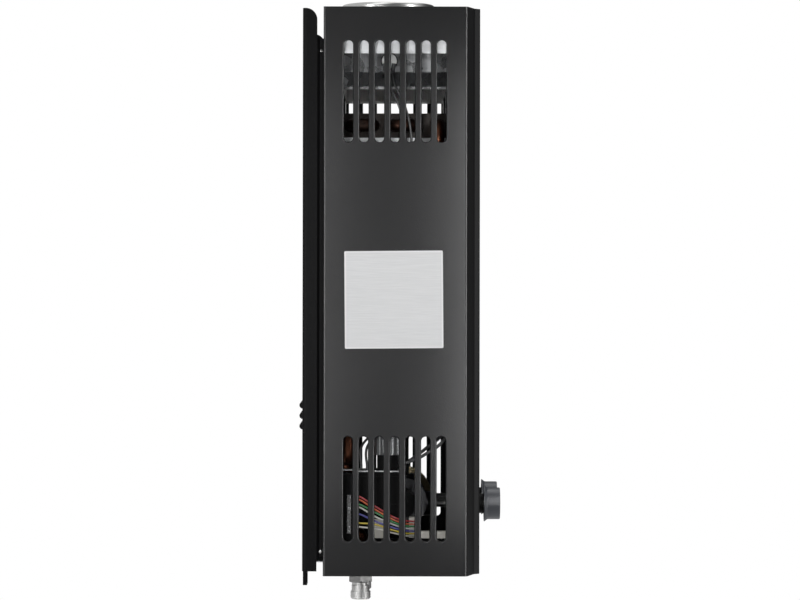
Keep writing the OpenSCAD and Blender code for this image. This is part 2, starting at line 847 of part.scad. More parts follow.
module thermostat() {
  tab_w = 26;
  tab_h = 10;
  tab_t = 1;
  body_h = 6;
  cap_h = 4;
  blade = [6, 1, 7];
  blade_y = 5;
  color(stainless)
    translate([thermostat_x, thermostat_y, thermostat_z]) rotate([0, -90, 0]) {
      translate([-tab_h / 2, -tab_w / 2, 0]) cube([tab_h, tab_w, tab_t]);
      cylinder(d = thermostat_d - 2, h = body_h);
      translate([0, 0, body_h - cut]) cylinder(d = thermostat_d, h = cap_h);
      for (y = [-blade_y, blade_y])
        translate([-blade.x / 2, y - blade.y / 2, body_h + cap_h - cut]) cube(blade);
    }
}

// Coil of water pipe round the chamber, from the water valve up to the exchanger
pipe_bend = 16;
coil_x = core_w / 2 + pipe_d / 2 + seat_gap;
coil_front_y = core_front_y - pipe_d / 2 - seat_gap;
coil_rear_y = core_rear_y + pipe_d / 2 + seat_gap;
coil_low = chamber_z + 25;
coil_high = chamber_z + 70;
riser_z = 100;
entry_x = tube_end + pipe_bend + 4;
// Shortest straight piece between two tight bends
bend_rest = 0.2;

module coil_pipe() {
  step_y = coil_rear_y - 38;
  entry_bend = pipe_d / 2 + 1;
  // The last run behind the chamber leaves room for both tight bends up to the first tube
  last_y = max(coil_rear_y, tube_y[0] + 2 * entry_bend + bend_rest);
  bends = concat(same(pipe_bend, 10), same(entry_bend, 2), pipe_bend);
  color(copper)
    bar_run([
      [coil_x, valve_y, riser_z],
      [coil_x, valve_y, coil_low],
      [coil_x, coil_front_y, coil_low],
      [-coil_x, coil_front_y, coil_low],
      [-coil_x, coil_rear_y, coil_low],
      [coil_x, coil_rear_y, coil_low],
      [coil_x, step_y, coil_low],
      [coil_x, step_y, coil_high],
      [coil_x, coil_front_y, coil_high],
      [-coil_x, coil_front_y, coil_high],
      [-coil_x, last_y, coil_high],
      [entry_x, last_y, coil_high],
      [entry_x, tube_y[0], coil_high],
      [entry_x, tube_y[0], tube_z],
      [tube_end + 1, tube_y[0], tube_z],
    ], bends) pipe_section(pipe_d, pipe_t);
}

// Hot pipe from the exchanger's left front, back along the tray and down to the outlet
hot_bend = pipe_d / 2 + 0.2;
hot_y = port_y + 2 * hot_bend + bend_rest;
hot_turn_z = 250;
hot_low_z = 40;
hot_cross_rise = 4;

module hot_pipe() {
  front = tube_y[tube_n - 1];
  hot_cross_z = ctrl_top + pipe_d / 2 + hot_cross_rise;
  color(copper)
    bar_run([
      [-tube_end - 1, front, tube_z],
      [-entry_x, front, tube_z],
      [-entry_x, front, hot_turn_z],
      [-entry_x, hot_y, hot_turn_z],
      [-entry_x, hot_y, hot_cross_z],
      [-port_x, hot_y, hot_cross_z],
      [-port_x, hot_y, hot_low_z],
      [-port_x, port_y, hot_low_z],
      [-port_x, port_y, port_top],
    ], concat(same(pipe_bend, 5), same(hot_bend, 2))) pipe_section(pipe_d, pipe_t);
}

// Half-inch connections under the case: hot water, gas and cold water
port_top = 24;
port_neck_d = 14.5;
hex_af = 27;
hex_h = 8;
chamfer = 1.2;
ridge_n = 3;
ridge_pitch = 2;
ridge_d = 19;

module connection() {
  b = port_bore / 2;
  thread_top = -port_drop + chamfer + thread_len;
  ridge_top = thread_top + ridge_n * ridge_pitch;
  hex_z = bottom_z + sheet;
  rotate_extrude() polygon(concat(
    [
      [b, port_top],
      [port_hole_d / 2 - 3, port_top],
      [port_hole_d / 2 - 3, hex_z],
      [port_neck_d / 2, hex_z],
      [port_neck_d / 2, ridge_top],
    ],
    [for (i = [0 : ridge_n - 1]) each [
      [ridge_d / 2, ridge_top - i * ridge_pitch],
      [ridge_d / 2, ridge_top - (i + 0.6) * ridge_pitch],
      [ridge_d / 2 - 1, ridge_top - (i + 0.6) * ridge_pitch],
      [ridge_d / 2 - 1, ridge_top - (i + 1) * ridge_pitch],
    ]],
    [
      [thread_d / 2, thread_top],
      [thread_d / 2, -port_drop + chamfer],
      [thread_d / 2 - chamfer, -port_drop],
      [b, -port_drop],
    ]
  ));
  difference() {
    translate([0, 0, hex_z]) cylinder(d = hex_af / cos(30), h = hex_h, $fn = 6);
    cylinder(d = port_bore, h = port_top);
  }
}

module hot_outlet() { color(stainless) translate([-port_x, port_y, 0]) connection(); }
module gas_inlet() { color(brass) translate([0, port_y, 0]) connection(); }
module cold_inlet() { color(stainless) translate([port_x, port_y, 0]) connection(); }

// Gas valve: a cast barrel with an inlet arm, an outlet boss and a neck for the spindle
valve_y = -104;
valve_z = 70;
valve_front_y = -138;
spindle_bore = 24;
spindle_end_gap = 4;
gas_x = -41;
gas_left = -72;
gas_right = -10;
gas_d = 46;
gas_flange_d = 52;
gas_flange_t = 5;
valve_neck_d = 26;
gas_seat = 8;
gas_pipe_d = 14;
gas_top = 98;
rod_d = 5;
rod_bore = 14;

module gas_valve() {
  arm_r = 12;
  arm_x = -34;
  arm_z = valve_z - 10;
  color(zinc)
    difference() {
      union() {
        translate([gas_left, valve_y, valve_z]) along_x() cylinder(d = gas_d, h = gas_right - gas_left);
        for (x = [gas_left, gas_right - gas_flange_t])
          translate([x, valve_y, valve_z]) along_x() cylinder(d = gas_flange_d, h = gas_flange_t);
        translate([-knob_x, valve_y, knob_rise]) to_front()
          cylinder(d = valve_neck_d, h = valve_y - valve_front_y);
        translate([gas_x, valve_y, valve_z]) cylinder(d = valve_neck_d, h = gas_top - valve_z);
        bar_run([
          [0, port_y, port_top],
          [0, port_y, arm_z],
          [arm_x, port_y, arm_z],
          [arm_x, valve_y, arm_z],
        ], same(arm_r + 2, 2)) circle(arm_r);
      }
      translate([-knob_x, valve_front_y + spindle_bore, knob_rise]) to_front()
        cylinder(d = spindle_d + 2 * run_gap, h = spindle_bore + cut);
      translate([gas_right - rod_bore, valve_y, valve_z]) along_x()
        cylinder(d = rod_d + 2 * run_gap, h = rod_bore + cut);
      translate([gas_x, valve_y, gas_top - gas_seat])
        cylinder(d = gas_pipe_d + 2 * tube_hole_gap, h = gas_seat + cut);
    }
}

// Solenoid on the valve's left end
solenoid_winding = [30, 24];
solenoid_cap = [12, 7];
solenoid_len = solenoid_winding[1] + solenoid_cap[1];

module solenoid() {
  neck = [18, 4];
  color(black_plastic)
    translate([gas_left, valve_y, valve_z]) rotate([0, -90, 0]) {
      cylinder(d = neck[0], h = neck[1]);
      translate([0, 0, neck[1] - cut]) cylinder(d = solenoid_winding[0], h = solenoid_winding[1]);
      translate([0, 0, solenoid_winding[1]]) cylinder(d = solenoid_cap[0], h = solenoid_cap[1]);
    }
}

// Pipe from the gas valve up to the manifold
module gas_pipe() {
  mid_z = 150;
  color(stainless)
    bar_run([
      [gas_x, valve_y, gas_top - gas_seat],
      [gas_x, valve_y, mid_z],
      [gas_x, manifold_y, mid_z],
      [gas_x, manifold_y, throat_z - 5],
    ], same(pipe_bend, 2)) pipe_section(gas_pipe_d, pipe_t);
}

// Water valve: a barrel with inlet, outlet and drain, and half of the diaphragm housing
housing_d = 64;
housing_x = 35;
housing_t = 6;
housing_hub_d = 46;
barrel_d = 36;
water_right = 112;
inlet_r = 12;
riser_r = 10;
drain_boss_d = 20;
drain_d = 10;
drain_bore = 14;
drain_seat_z = 42;

module water_valve() {
  color(brass)
    difference() {
      union() {
        translate([housing_x, valve_y, valve_z]) along_x() cylinder(d = housing_d, h = housing_t);
        translate([housing_x, valve_y, valve_z]) along_x() cylinder(d = housing_hub_d, h = 2 * housing_t);
        translate([housing_x, valve_y, valve_z]) along_x()
          cylinder(d = barrel_d, h = water_right - housing_x);
        translate([knob_x, valve_y, knob_rise]) to_front()
          cylinder(d = valve_neck_d, h = valve_y - valve_front_y);
        bar_run([
          [port_x, port_y, port_top],
          [port_x, port_y, valve_z],
          [port_x, valve_y, valve_z],
        ], [inlet_r + 1]) circle(inlet_r);
        bar_run([
          [port_x, valve_y, valve_z],
          [coil_x, valve_y, valve_z],
          [coil_x, valve_y, riser_z],
        ], [riser_r + 1]) circle(riser_r);
        translate([drain_x, drain_y, drain_seat_z]) cylinder(d = drain_boss_d, h = valve_z - drain_seat_z);
      }
      translate([knob_x, valve_front_y + spindle_bore, knob_rise]) to_front()
        cylinder(d = spindle_d + 2 * run_gap, h = spindle_bore + cut);
      translate([drain_x, drain_y, drain_seat_z - cut])
        cylinder(d = drain_d + 2 * run_gap, h = drain_bore + cut);
    }
}

// Diaphragm and the outer half of its housing
diaphragm_t = 1;
module diaphragm() {
  color("#2b2725")
    translate([housing_x - diaphragm_t, valve_y, valve_z]) along_x()
      cylinder(d = housing_d - 4, h = diaphragm_t);
}

cover_dome = 6;
cover_hub = 6;
cover_hub_d = 16;
cover_screw_d = 6;
cover_screw_h = 2;
cover_face = housing_x - diaphragm_t - housing_t;
module diaphragm_cover() {
  hub_x = cover_face - cover_dome - cover_hub;
  color(brass)
    translate([0, valve_y, valve_z]) difference() {
      union() {
        translate([cover_face, 0, 0]) along_x() cylinder(d = housing_d, h = housing_t);
        translate([cover_face - cover_dome, 0, 0]) along_x()
          cylinder(d1 = housing_d - 26, d2 = housing_d - 14, h = cover_dome);
        translate([hub_x, 0, 0]) along_x() cylinder(d = cover_hub_d, h = cover_hub);
        for (a = [30 : 60 : 330]) rotate([a, 0, 0])
          translate([cover_face - cover_screw_h, housing_d / 2 - 0.75 * cover_screw_d, 0])
            along_x() cylinder(d = cover_screw_d, h = cover_screw_h);
      }
      translate([hub_x - cut, 0, 0]) along_x()
        cylinder(d = rod_d + 2 * run_gap, h = housing_x - hub_x + cut);
    }
}

// Push rod from the diaphragm to the gas valve, with the collar that trips the switch
collar_x = 5.2;
collar_t = 3;
collar_d = 12;
rod_left = -18;
rod_right = 30;

module push_rod() {
  color(stainless)
    translate([0, valve_y, valve_z]) {
      translate([rod_left, 0, 0]) along_x() cylinder(d = rod_d, h = rod_right - rod_left);
      translate([collar_x, 0, 0]) along_x() cylinder(d = collar_d, h = collar_t);
    }
}

// Bracket with the pivot pin of the switch lever, on the gas valve's end face
pivot_x = 4;
pivot_z = valve_z + 18;
pivot_d = 2;
lever_w = 10;
lever_t = 1.2;
lever_low = valve_z + 3;
shelf_z = pivot_z + 5;
shelf_t = 1.2;
shelf_w = 16;

module switch_bracket() {
  tab_z = valve_z + 6;
  ear = 6;
  color(zinc) {
    translate([gas_right, valve_y - shelf_w / 2, tab_z])
      cube([shelf_t, shelf_w, shelf_z + shelf_t - tab_z]);
    translate([gas_right, valve_y - shelf_w / 2, shelf_z]) cube([26, shelf_w, shelf_t]);
    for (y = [-shelf_w / 2, shelf_w / 2 - shelf_t])
      translate([pivot_x - ear / 2, valve_y + y, pivot_z - ear / 2])
        cube([ear, shelf_t, shelf_z - pivot_z + ear]);
    translate([pivot_x, valve_y + shelf_w / 2, pivot_z]) to_front() cylinder(d = pivot_d, h = shelf_w);
  }
}

module switch_lever() {
  hub_d = 5;
  color(stainless)
    difference() {
      union() {
        translate([pivot_x, valve_y + lever_w / 2, pivot_z]) to_front() cylinder(d = hub_d, h = lever_w);
        translate([pivot_x - lever_t / 2, valve_y - lever_w / 2, lever_low])
          cube([lever_t, lever_w, pivot_z - lever_low]);
      }
      translate([pivot_x, valve_y + lever_w, pivot_z]) to_front()
        cylinder(d = pivot_d + 2 * run_gap, h = 2 * lever_w);
    }
}

module micro_switch() {
  color(black_plastic)
    translate([gas_right + 4, valve_y - 6, shelf_z + shelf_t]) {
      cube([20, 12, 11]);
      for (x = [2, 9, 16]) translate([x, 5, 10.5]) cube([1, 4, 6]);
    }
}

// Drain plug: turned by its grip under the case
drain_drop = 8;
module drain_plug() {
  grip_d = 16;
  grip_h = 12;
  grip_n = 12;
  shank_top = drain_seat_z + drain_bore - 4;
  color(slate_plastic)
    translate([drain_x, drain_y, 0]) {
      cylinder(d = drain_d, h = shank_top);
      difference() {
        translate([0, 0, -drain_drop]) cylinder(d = grip_d, h = grip_h);
        for (i = [0 : grip_n - 1]) rotate([0, 0, i * 360 / grip_n])
          translate([grip_d / 2 + 0.6, 0, -drain_drop - cut])
            cylinder(d = 2.6, h = grip_h + 2 * cut, $fn = 16);
      }
    }
}

// Knobs, their bushes in the front panel and the spindles behind them
bush_neck_d = 15;
bush_gap = 0.4;
knob_bore = 12;

// Local Z = 0 is the knob's base, Z points out of the front panel
module at_knob(side) {
  translate([side * knob_x, front_y - knob_gap, knob_rise]) to_front() children();
}

module knob() {
  cap = knob_d / 2;
  skirt = knob_skirt_d / 2;
  rim = 0.7;
  flare_h = 3.6;
  hub_r = 7.5;
  wall = 2;
  hollow_h = 11;
  pointer_w = 2;
  difference() {
    rotate_extrude() polygon(rounded(
      [[0, 0], [skirt, 0], [skirt, rim], [cap, flare_h], [cap, knob_depth], [0, knob_depth]],
      [0, 0, 0, 2.5, 1, 0]
    ));
    translate([0, 0, -cut]) difference() {
      cylinder(r = cap - wall, h = hollow_h + cut);
      cylinder(r = hub_r, h = hollow_h + 2 * cut);
    }
    translate([0, 0, -cut]) cylinder(d = spindle_d + 2 * tube_hole_gap, h = knob_bore + cut);
    translate([-pointer_w / 2, cap / 3, knob_depth - 0.8]) cube([pointer_w, cap, 2]);
  }
}

module gas_knob() { color(slate_plastic) at_knob(-1) knob(); }
module water_knob() { color(slate_plastic) at_knob(1) knob(); }

module knob_bushes() {
  neck_len = 8;
  color(black_plastic)
    for (side = [-1, 1])
      at_knob(side) difference() {
        union() {
          translate([0, 0, -knob_gap]) cylinder(d = bush_d, h = knob_gap - bush_gap);
          translate([0, 0, -knob_gap - neck_len]) cylinder(d = bush_neck_d, h = neck_len + cut);
        }
        translate([0, 0, -knob_gap - neck_len - cut])
          cylinder(d = spindle_d + 2 * run_gap, h = knob_gap + neck_len + 2 * cut);
      }
}

module spindle(side) {
  inner = case_d + knob_gap + valve_front_y + spindle_bore - spindle_end_gap;
  color(stainless)
    at_knob(side) translate([0, 0, -inner]) cylinder(d = spindle_d, h = inner + knob_bore - bush_gap);
}

module gas_spindle() { spindle(-1); }
module water_spindle() { spindle(1); }

// Battery box in the bottom bracket, with two cells, contacts and a hinged lid
cell_d = 33;
cell_len = 61;
box_t = 1.6;
box_w = cell_len + 8 + 2 * box_t;
box_d = 2 * cell_d + 1 + 2 * box_t;
box_side = 19.8;
box_back = 91.5;
box_x = -case_w / 2 + box_side;
box_y = -box_back - box_d;
lid_t = 1.8;
box_z = bottom_z + sheet;
box_h = cell_d + 1 + box_t;
hinge_y = box_y + box_d + 4.5;
hinge_z = 3.2;
hinge_d = 3;
hinge_ear = 6;
lid_gap = 0.6;
hinge_room = 9;

module battery_box() {
  rim = 4;
  knuckle_d = 7;
  color(black_plastic)
    difference() {
      union() {
        translate([box_x, box_y, box_z]) cube([box_w, box_d, box_h]);
        translate([box_x - rim, box_y + rim, box_z]) cube([box_w + 2 * rim, box_d - rim, box_t]);
        for (x = [box_x, box_x + box_w - hinge_ear]) {
          translate([x, hinge_y, hinge_z]) along_x() cylinder(d = knuckle_d, h = hinge_ear);
          translate([x, box_y + box_d - box_t, box_z])
            cube([hinge_ear, hinge_y - box_y - box_d + box_t, 4]);
        }
      }
      translate([box_x + box_t, box_y + box_t, box_z - cut])
        cube([box_w - 2 * box_t, box_d - 2 * box_t, box_h - box_t + cut]);
      translate([box_x - cut, hinge_y, hinge_z]) along_x()
        cylinder(d = hinge_d + 2 * tube_hole_gap, h = box_w + 2 * cut);
    }
}

module lid_pin() {
  color(stainless) translate([box_x, hinge_y, hinge_z]) along_x() cylinder(d = hinge_d, h = box_w);
}

module battery_lid() {
  barrel_d = 6;
  left = box_x + hinge_ear + seat_gap;
  barrel_w = box_w - 2 * hinge_ear - 2 * seat_gap;
  color(black_plastic)
    difference() {
      union() {
        translate([box_x + lid_gap, box_y + lid_gap, 0])
          cube([box_w - 2 * lid_gap, box_d - 2 * lid_gap, lid_t]);
        translate([left, box_y + box_d / 2, 0]) cube([barrel_w, hinge_y - box_y - box_d / 2, lid_t]);
        translate([left, hinge_y, hinge_z]) along_x() cylinder(d = barrel_d, h = barrel_w);
        translate([box_x + box_w / 2 - 10, box_y + 4, -1.2]) cube([20, 3, 2]);
      }
      translate([left - cut, hinge_y, hinge_z]) along_x()
        cylinder(d = hinge_d + 2 * run_gap, h = barrel_w + 2 * cut);
    }
}

module cells() {
  nub_d = 9;
  nub_h = 1.5;
  color("#3b4a58")
    for (i = [0, 1])
      translate([
        box_x + box_t + 4,
        box_y + box_t + cell_d / 2 + 0.3 + i * (cell_d + 0.4),
        box_z + cell_d / 2 + 0.5,
      ])
        along_x() {
          cylinder(d = cell_d - 0.6, h = cell_len - nub_h);
          translate([0, 0, cell_len - nub_h - cut]) cylinder(d = nub_d, h = nub_h + cut);
        }
}

module battery_contacts() {
  strip_w = 12;
  strip_t = 0.6;
  color(stainless)
    for (x = [box_x + box_t, box_x + box_w - box_t - strip_t])
      translate([x, box_y + box_t + cell_d / 2 - strip_w / 2, box_z + cell_d / 4])
        cube([strip_t, cell_d + strip_w, strip_w + cell_d / 4]);
}

// Control box and the shelf it hangs from
ctrl_side = 18;
ctrl_x = -case_w / 2 + ctrl_side;
ctrl_clear = 9;
ctrl_right = gas_left - solenoid_len - ctrl_clear;
ctrl_w = ctrl_right - ctrl_x;
ctrl_y = -103;
ctrl_d = 46;
ctrl_z = 58;
ctrl_h = 49;
ctrl_top = ctrl_z + ctrl_h + plate_t;

// Terminal housing behind the box, which the harness leaves
terminal_w = 22;
terminal_d = 17;
terminal_drop = 24;

module controller() {
  rib_h = 1.6;
  color(black_plastic) {
    translate([ctrl_x, ctrl_y, ctrl_z]) cube([ctrl_w, ctrl_d, ctrl_h]);
    for (z = [ctrl_z + 14, ctrl_z + ctrl_h - 6])
      translate([ctrl_x - 1, ctrl_y + 2, z]) cube([2, ctrl_d - 4, rib_h]);
    translate([ctrl_x, ctrl_y + ctrl_d - cut, ctrl_z - terminal_drop])
      cube([terminal_w, terminal_d + cut, ctrl_h - 2 + terminal_drop]);
  }
}

// Spark unit on the shelf: a moulded base with two cans
spark_w = 18;
spark_d = 21.5;
spark_h = 16;
spark_x = ctrl_x + 1;
spark_y = ctrl_y + 4;
can_d = 13;
can_h = 22;
can_pitch = 15;

module spark_unit() {
  foot = 3;
  color(black_plastic) {
    translate([spark_x, spark_y, ctrl_top]) cube([spark_w, spark_d, spark_h]);
    translate([spark_x + foot, spark_y + spark_d - cut, ctrl_top]) cube([spark_w - 2 * foot, 6 + cut, 2]);
  }
}

module spark_cans() {
  rim_h = 2;
  color(zinc)
    for (side = [-1, 1])
      translate([spark_x + spark_w / 2, spark_y + spark_d / 2 + side * can_pitch / 2, ctrl_top + spark_h]) {
        cylinder(d = can_d, h = can_h);
        cylinder(d = can_d + 1.4, h = rim_h);
      }
}

module controller_shelf() {
  arm_w = 20;
  arm_x = ctrl_right - arm_w;
  shelf_rear_h = 18;
  z = ctrl_z + ctrl_h;
  color(zinc) {
    translate([0, 0, z]) linear_extrude(plate_t) polygon([
      [ctrl_x, ctrl_y],
      [ctrl_right, ctrl_y],
      [ctrl_right, -plate_t],
      [arm_x, -plate_t],
      [arm_x, ctrl_y + ctrl_d],
      [ctrl_x, ctrl_y + ctrl_d],
    ]);
    translate([arm_x, -2 * plate_t, z]) cube([arm_w, plate_t, shelf_rear_h]);
  }
}

// Display in the front panel: a lens with a rear flange, and its board
display_z = 170;
display_w = 64;
display_h = 30;
display_edge = 5;

module display_lens() {
  lens_t = 2;
  post = 6;
  color("#101318")
    translate([0, front_in_y, display_z]) {
      translate([-display_w / 2 + 0.2, -sheet - 0.4, -display_h / 2 + 0.2])
        cube([display_w - 0.4, sheet + 1, display_h - 0.4]);
      translate([-display_w / 2 - display_edge, 0, -display_h / 2 - display_edge])
        cube([display_w + 2 * display_edge, lens_t, display_h + 2 * display_edge]);
      for (x = [-1, 1]) for (z = [-1, 1])
        translate([x * (display_w / 2 + 2), lens_t + post, z * (display_h / 2 + 2)])
          to_front() cylinder(d = 4, h = post + cut);
    }
}

module display_board() {
  color("#1f5a3a")
    translate([-display_w / 2 - display_edge, front_in_y + 8, display_z - display_h / 2 - display_edge]) {
      cube([display_w + 2 * display_edge, 1.6, display_h + 2 * display_edge]);
      translate([display_w / 4, 1.5, display_h / 3]) cube([display_w / 2, 5, display_h / 3]);
    }
}

// Smooth curve through the points of a wire
function between(a, b, c, d, t) = 0.5 * (
  2 * b + (c - a) * t + (2 * a - 5 * b + 4 * c - d) * t * t + (3 * b - a - 3 * c + d) * t * t * t
);
function smooth(p, steps) = let (last = len(p) - 1) concat(
  [for (i = [0 : last - 1]) for (s = [0 : steps - 1])
    between(p[max(i - 1, 0)], p[i], p[i + 1], p[min(i + 2, last)], s / steps)],
  [p[last]]
);

// A thin round wire swept along a route, its rings kept square to the route
wire_sides = 8;
module wire(points, d, up) {
  path = smooth(points, 4);
  last = len(path) - 1;
  rings = [for (i = [0 : last])
    let (
      ahead = unit(path[min(i + 1, last)] - path[max(i - 1, 0)]),
      x = unit(cross(ahead, up)),
      y = cross(ahead, x)
    )
    each [for (k = [0 : wire_sides - 1])
      path[i] + d / 2 * (cos(k * 360 / wire_sides) * x + sin(k * 360 / wire_sides) * y)]
  ];
  side = [for (i = [0 : last - 1]) for (k = [0 : wire_sides - 1])
    let (n = (k + 1) % wire_sides, a = i * wire_sides)
    each [[a + k, a + n, a + wire_sides + k], [a + n, a + wire_sides + n, a + wire_sides + k]]];
  first_cap = [for (k = [1 : wire_sides - 2]) [0, k + 1, k]];
  end = last * wire_sides;
  last_cap = [for (k = [1 : wire_sides - 2]) [end, end + k, end + k + 1]];
  polyhedron(rings, concat(side, first_cap, last_cap));
}

// Harness from the terminal housing along the left panel and down to the plug block
harness_d = 1.8;
plug_x = box_x + 10.2;
plug_y = -116;
plug_z = box_z + box_h;
panel_x = -case_w / 2;
terminal_y = ctrl_y + ctrl_d + 2;
// For each wire: how far it swings in from the panel, and its height on the way to the plug
harness_runs = [
  [0, 81, 70.8, 60.8, 55.6],
  [1.2, 77.6, 67.4, 58, 52.6],
  [0.2, 73, 64.6, 55.4, 50.2],
  [1.6, 69.8, 60.2, 52.9, 47.8],
  [0, 63, 55.6, 49.6, 45.2],
  [1, 54, 52.4, 46.9, 42.6],
  [0.4, 50, 48, 44, 40],
];
harness_colors = ["#b3262e", "#d8622a", "#2f8a4a", "#e8e6df", "#4a4aa0", "#d9c22e", "#cfcdc6"];
function harness_route(i) = let (run = harness_runs[i], x = panel_x + 11.5 + run[0]) [
  [ctrl_x, terminal_y, run[1] + 0.5],
  [ctrl_x - 3.5, terminal_y - 1.5, run[1] + 0.4],
  [x, terminal_y - 6, run[1]],
  [x, ctrl_y + 26, run[2]],
  [x, ctrl_y + 9, run[3]],
  [x + 3, plug_y + 10, run[4] + 1],
  [plug_x - 7, plug_y + 1.5, run[4] - 0.3],
  [plug_x, plug_y, run[4] - 0.8],
];

module harness() {
  for (i = [0 : len(harness_colors) - 1])
    color(harness_colors[i]) wire(harness_route(i), harness_d, [0, 0, 1]);
}

module plug_block() {
  under = [10, 10, 20];
  spare = [12, 9, 7];
  color(ceramic) {
    translate([plug_x, plug_y - 5, plug_z]) {
      cube([16, 10, 21]);
      translate([16 - cut, 2, 3]) cube([4, 6, 15]);
    }
    translate([ctrl_x + 1, ctrl_y + 19, ctrl_z - under.z]) cube(under);
    for (y = [-16, -33]) translate([box_x + 2, plug_y + y, plug_z]) cube(spare);
  }
}

// Leads from the thermostat, the igniter and the flame sensor to the control box
lead_d = 2.6;

module thermostat_leads() {
  down_x = panel_x + 9;
  color(black_plastic)
    for (side = [-1, 1])
      wire([
        [thermostat_x - 14, thermostat_y + 5 * side, thermostat_z - 3],
        [thermostat_x - 16, thermostat_y + 4 * side, thermostat_z - 14],
        [down_x + 5, thermostat_y - 5 + 3 * side, exch_top + 23],
        [down_x, thermostat_y - 14 + 3 * side, exch_top + 3],
        [down_x, thermostat_y - 20 + 3 * side, exch_z],
        [down_x, thermostat_y - 20 + 3 * side, chamber_z + 110],
        [down_x + 1, ctrl_y + 3 * side, tray_z + 50],
        [down_x + 5, ctrl_y + 23 + 3 * side, ctrl_top + 52],
        [ctrl_x + 9, ctrl_y + 39 + 3 * side, ctrl_top + 24],
        [ctrl_x + 10, ctrl_y + 39 + 3 * side, ctrl_top + 5],
        [ctrl_x + 10, ctrl_y + 39 + 3 * side, ctrl_top],
      ], lead_d, [1, 0, 0]);
}

// The two ignition leads run over the gas manifold and down to the spark unit
ignition_lead_d = 3.4;
lead_y = core_front_y - electrode_out - 2;
spark_socket_z = ctrl_top + spark_h / 2;

// A lead leaves the electrode's pin straight to the front and then bends to the left
function lead_start(x) = [
  [x, core_front_y - electrode_out, electrode_z],
  [x - 1, lead_y - 1.5, electrode_z - 0.9],
  [x - 6, lead_y - 3.5, electrode_z - 5],
  [x - 20, lead_y - 1.5, electrode_z - 11],
];

module igniter_lead() {
  socket_x = ctrl_x + 6;
  color("#3a3b3d")
    wire([
      each lead_start(-electrode_x),
      [-core_w / 2 + 18, lead_y, electrode_z - 22],
      [panel_x + 42, lead_y + 3, tray_z + 34],
      [panel_x + 28, lead_y + 13, ctrl_top + 72],
      [panel_x + 18, lead_y + 28, ctrl_top + 34],
      [panel_x + 20, plug_y - 10, ctrl_top + 16],
      [socket_x, spark_y - 10, spark_socket_z + 0.5],
      [socket_x, spark_y - 5, spark_socket_z],
      [socket_x, spark_y, spark_socket_z],
    ], ignition_lead_d, [0, 0, 1]);
}

module sensor_lead() {
  socket_x = ctrl_x + 14;
  color("#2a2b2d")
    wire([
      each lead_start(electrode_x),
      [-core_w / 4, lead_y, electrode_z - 28],
      [-core_w / 2 + 6, lead_y + 1, tray_z + 33],
      [panel_x + 38, lead_y + 9, ctrl_top + 88],
      [panel_x + 38, lead_y + 27, ctrl_top + 42],
      [ctrl_x + 16, plug_y - 12, ctrl_top + 22],
      [socket_x, spark_y - 11, spark_socket_z + 1],
      [socket_x, spark_y - 5, spark_socket_z],
      [socket_x, spark_y, spark_socket_z],
    ], ignition_lead_d, [0, 0, 1]);
}

hung() front_cover();
hung() back_plate();
hung() top_plate();
hung() bottom_plate();
hung() cover_screws();
hung() flue_collar();
hung() draft_hood();
hung() exchanger_frame();
hung() exchanger_fins();
hung() exchanger_tubes();
hung() clamp_ring();
hung() chamber();
hung() coil_pipe();
hung() hot_pipe();
hung() burner_tray();
hung() burner_bars();
hung() gas_manifold();
hung() gas_pipe();
hung() core_rails();
hung() igniter();
hung() flame_sensor();
hung() thermostat();
hung() hot_outlet();
hung() gas_inlet();
hung() cold_inlet();
hung() gas_valve();
hung() solenoid();
hung() water_valve();
hung() diaphragm();
hung() diaphragm_cover();
hung() push_rod();
hung() switch_bracket();
hung() switch_lever();
hung() micro_switch();
hung() drain_plug();
hung() gas_knob();
hung() water_knob();
hung() knob_bushes();
hung() gas_spindle();
hung() water_spindle();
hung() battery_box();
hung() lid_pin();
hung() battery_lid();
hung() cells();
hung() battery_contacts();
hung() controller();
hung() controller_shelf();
hung() spark_unit();
hung() spark_cans();
hung() display_lens();
hung() display_board();
hung() harness();
hung() plug_block();
hung() thermostat_leads();
hung() igniter_lead();
hung() sensor_lead();
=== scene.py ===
"""Looks, light and camera for the wall-hung tankless gas water heater.

The scene is in metres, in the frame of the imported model: +Z up, the wall at Y = 0 and the front towards -Y.
Places and sizes of pieces are written in millimetres, with heights above the bottom of the case.
"""

import json
import math

import bmesh
import bpy
from mathutils import Matrix, Vector


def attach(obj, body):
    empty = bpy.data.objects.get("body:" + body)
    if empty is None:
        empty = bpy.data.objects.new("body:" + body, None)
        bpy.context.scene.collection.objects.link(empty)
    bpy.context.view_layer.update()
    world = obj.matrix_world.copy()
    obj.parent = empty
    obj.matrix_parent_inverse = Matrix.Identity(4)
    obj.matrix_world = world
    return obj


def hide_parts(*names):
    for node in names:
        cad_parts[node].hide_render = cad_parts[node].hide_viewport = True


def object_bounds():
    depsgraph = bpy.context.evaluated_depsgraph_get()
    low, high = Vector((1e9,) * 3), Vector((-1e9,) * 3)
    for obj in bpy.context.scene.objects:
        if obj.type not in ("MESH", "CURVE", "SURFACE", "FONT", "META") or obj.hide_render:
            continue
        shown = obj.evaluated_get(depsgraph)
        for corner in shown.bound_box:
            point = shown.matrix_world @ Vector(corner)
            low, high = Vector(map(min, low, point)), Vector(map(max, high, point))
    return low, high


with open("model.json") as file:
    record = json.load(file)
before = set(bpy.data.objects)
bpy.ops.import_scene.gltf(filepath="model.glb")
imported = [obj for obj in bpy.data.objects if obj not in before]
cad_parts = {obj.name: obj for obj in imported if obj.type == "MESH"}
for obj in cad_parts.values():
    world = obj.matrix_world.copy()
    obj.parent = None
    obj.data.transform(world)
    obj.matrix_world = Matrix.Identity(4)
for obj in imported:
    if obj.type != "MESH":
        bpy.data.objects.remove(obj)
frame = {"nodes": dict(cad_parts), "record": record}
cad_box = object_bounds()
nodes = frame["nodes"]
scene = bpy.context.scene

MM = 0.001
# Height of the hanging keyholes above the bottom of the case
HANG = 560


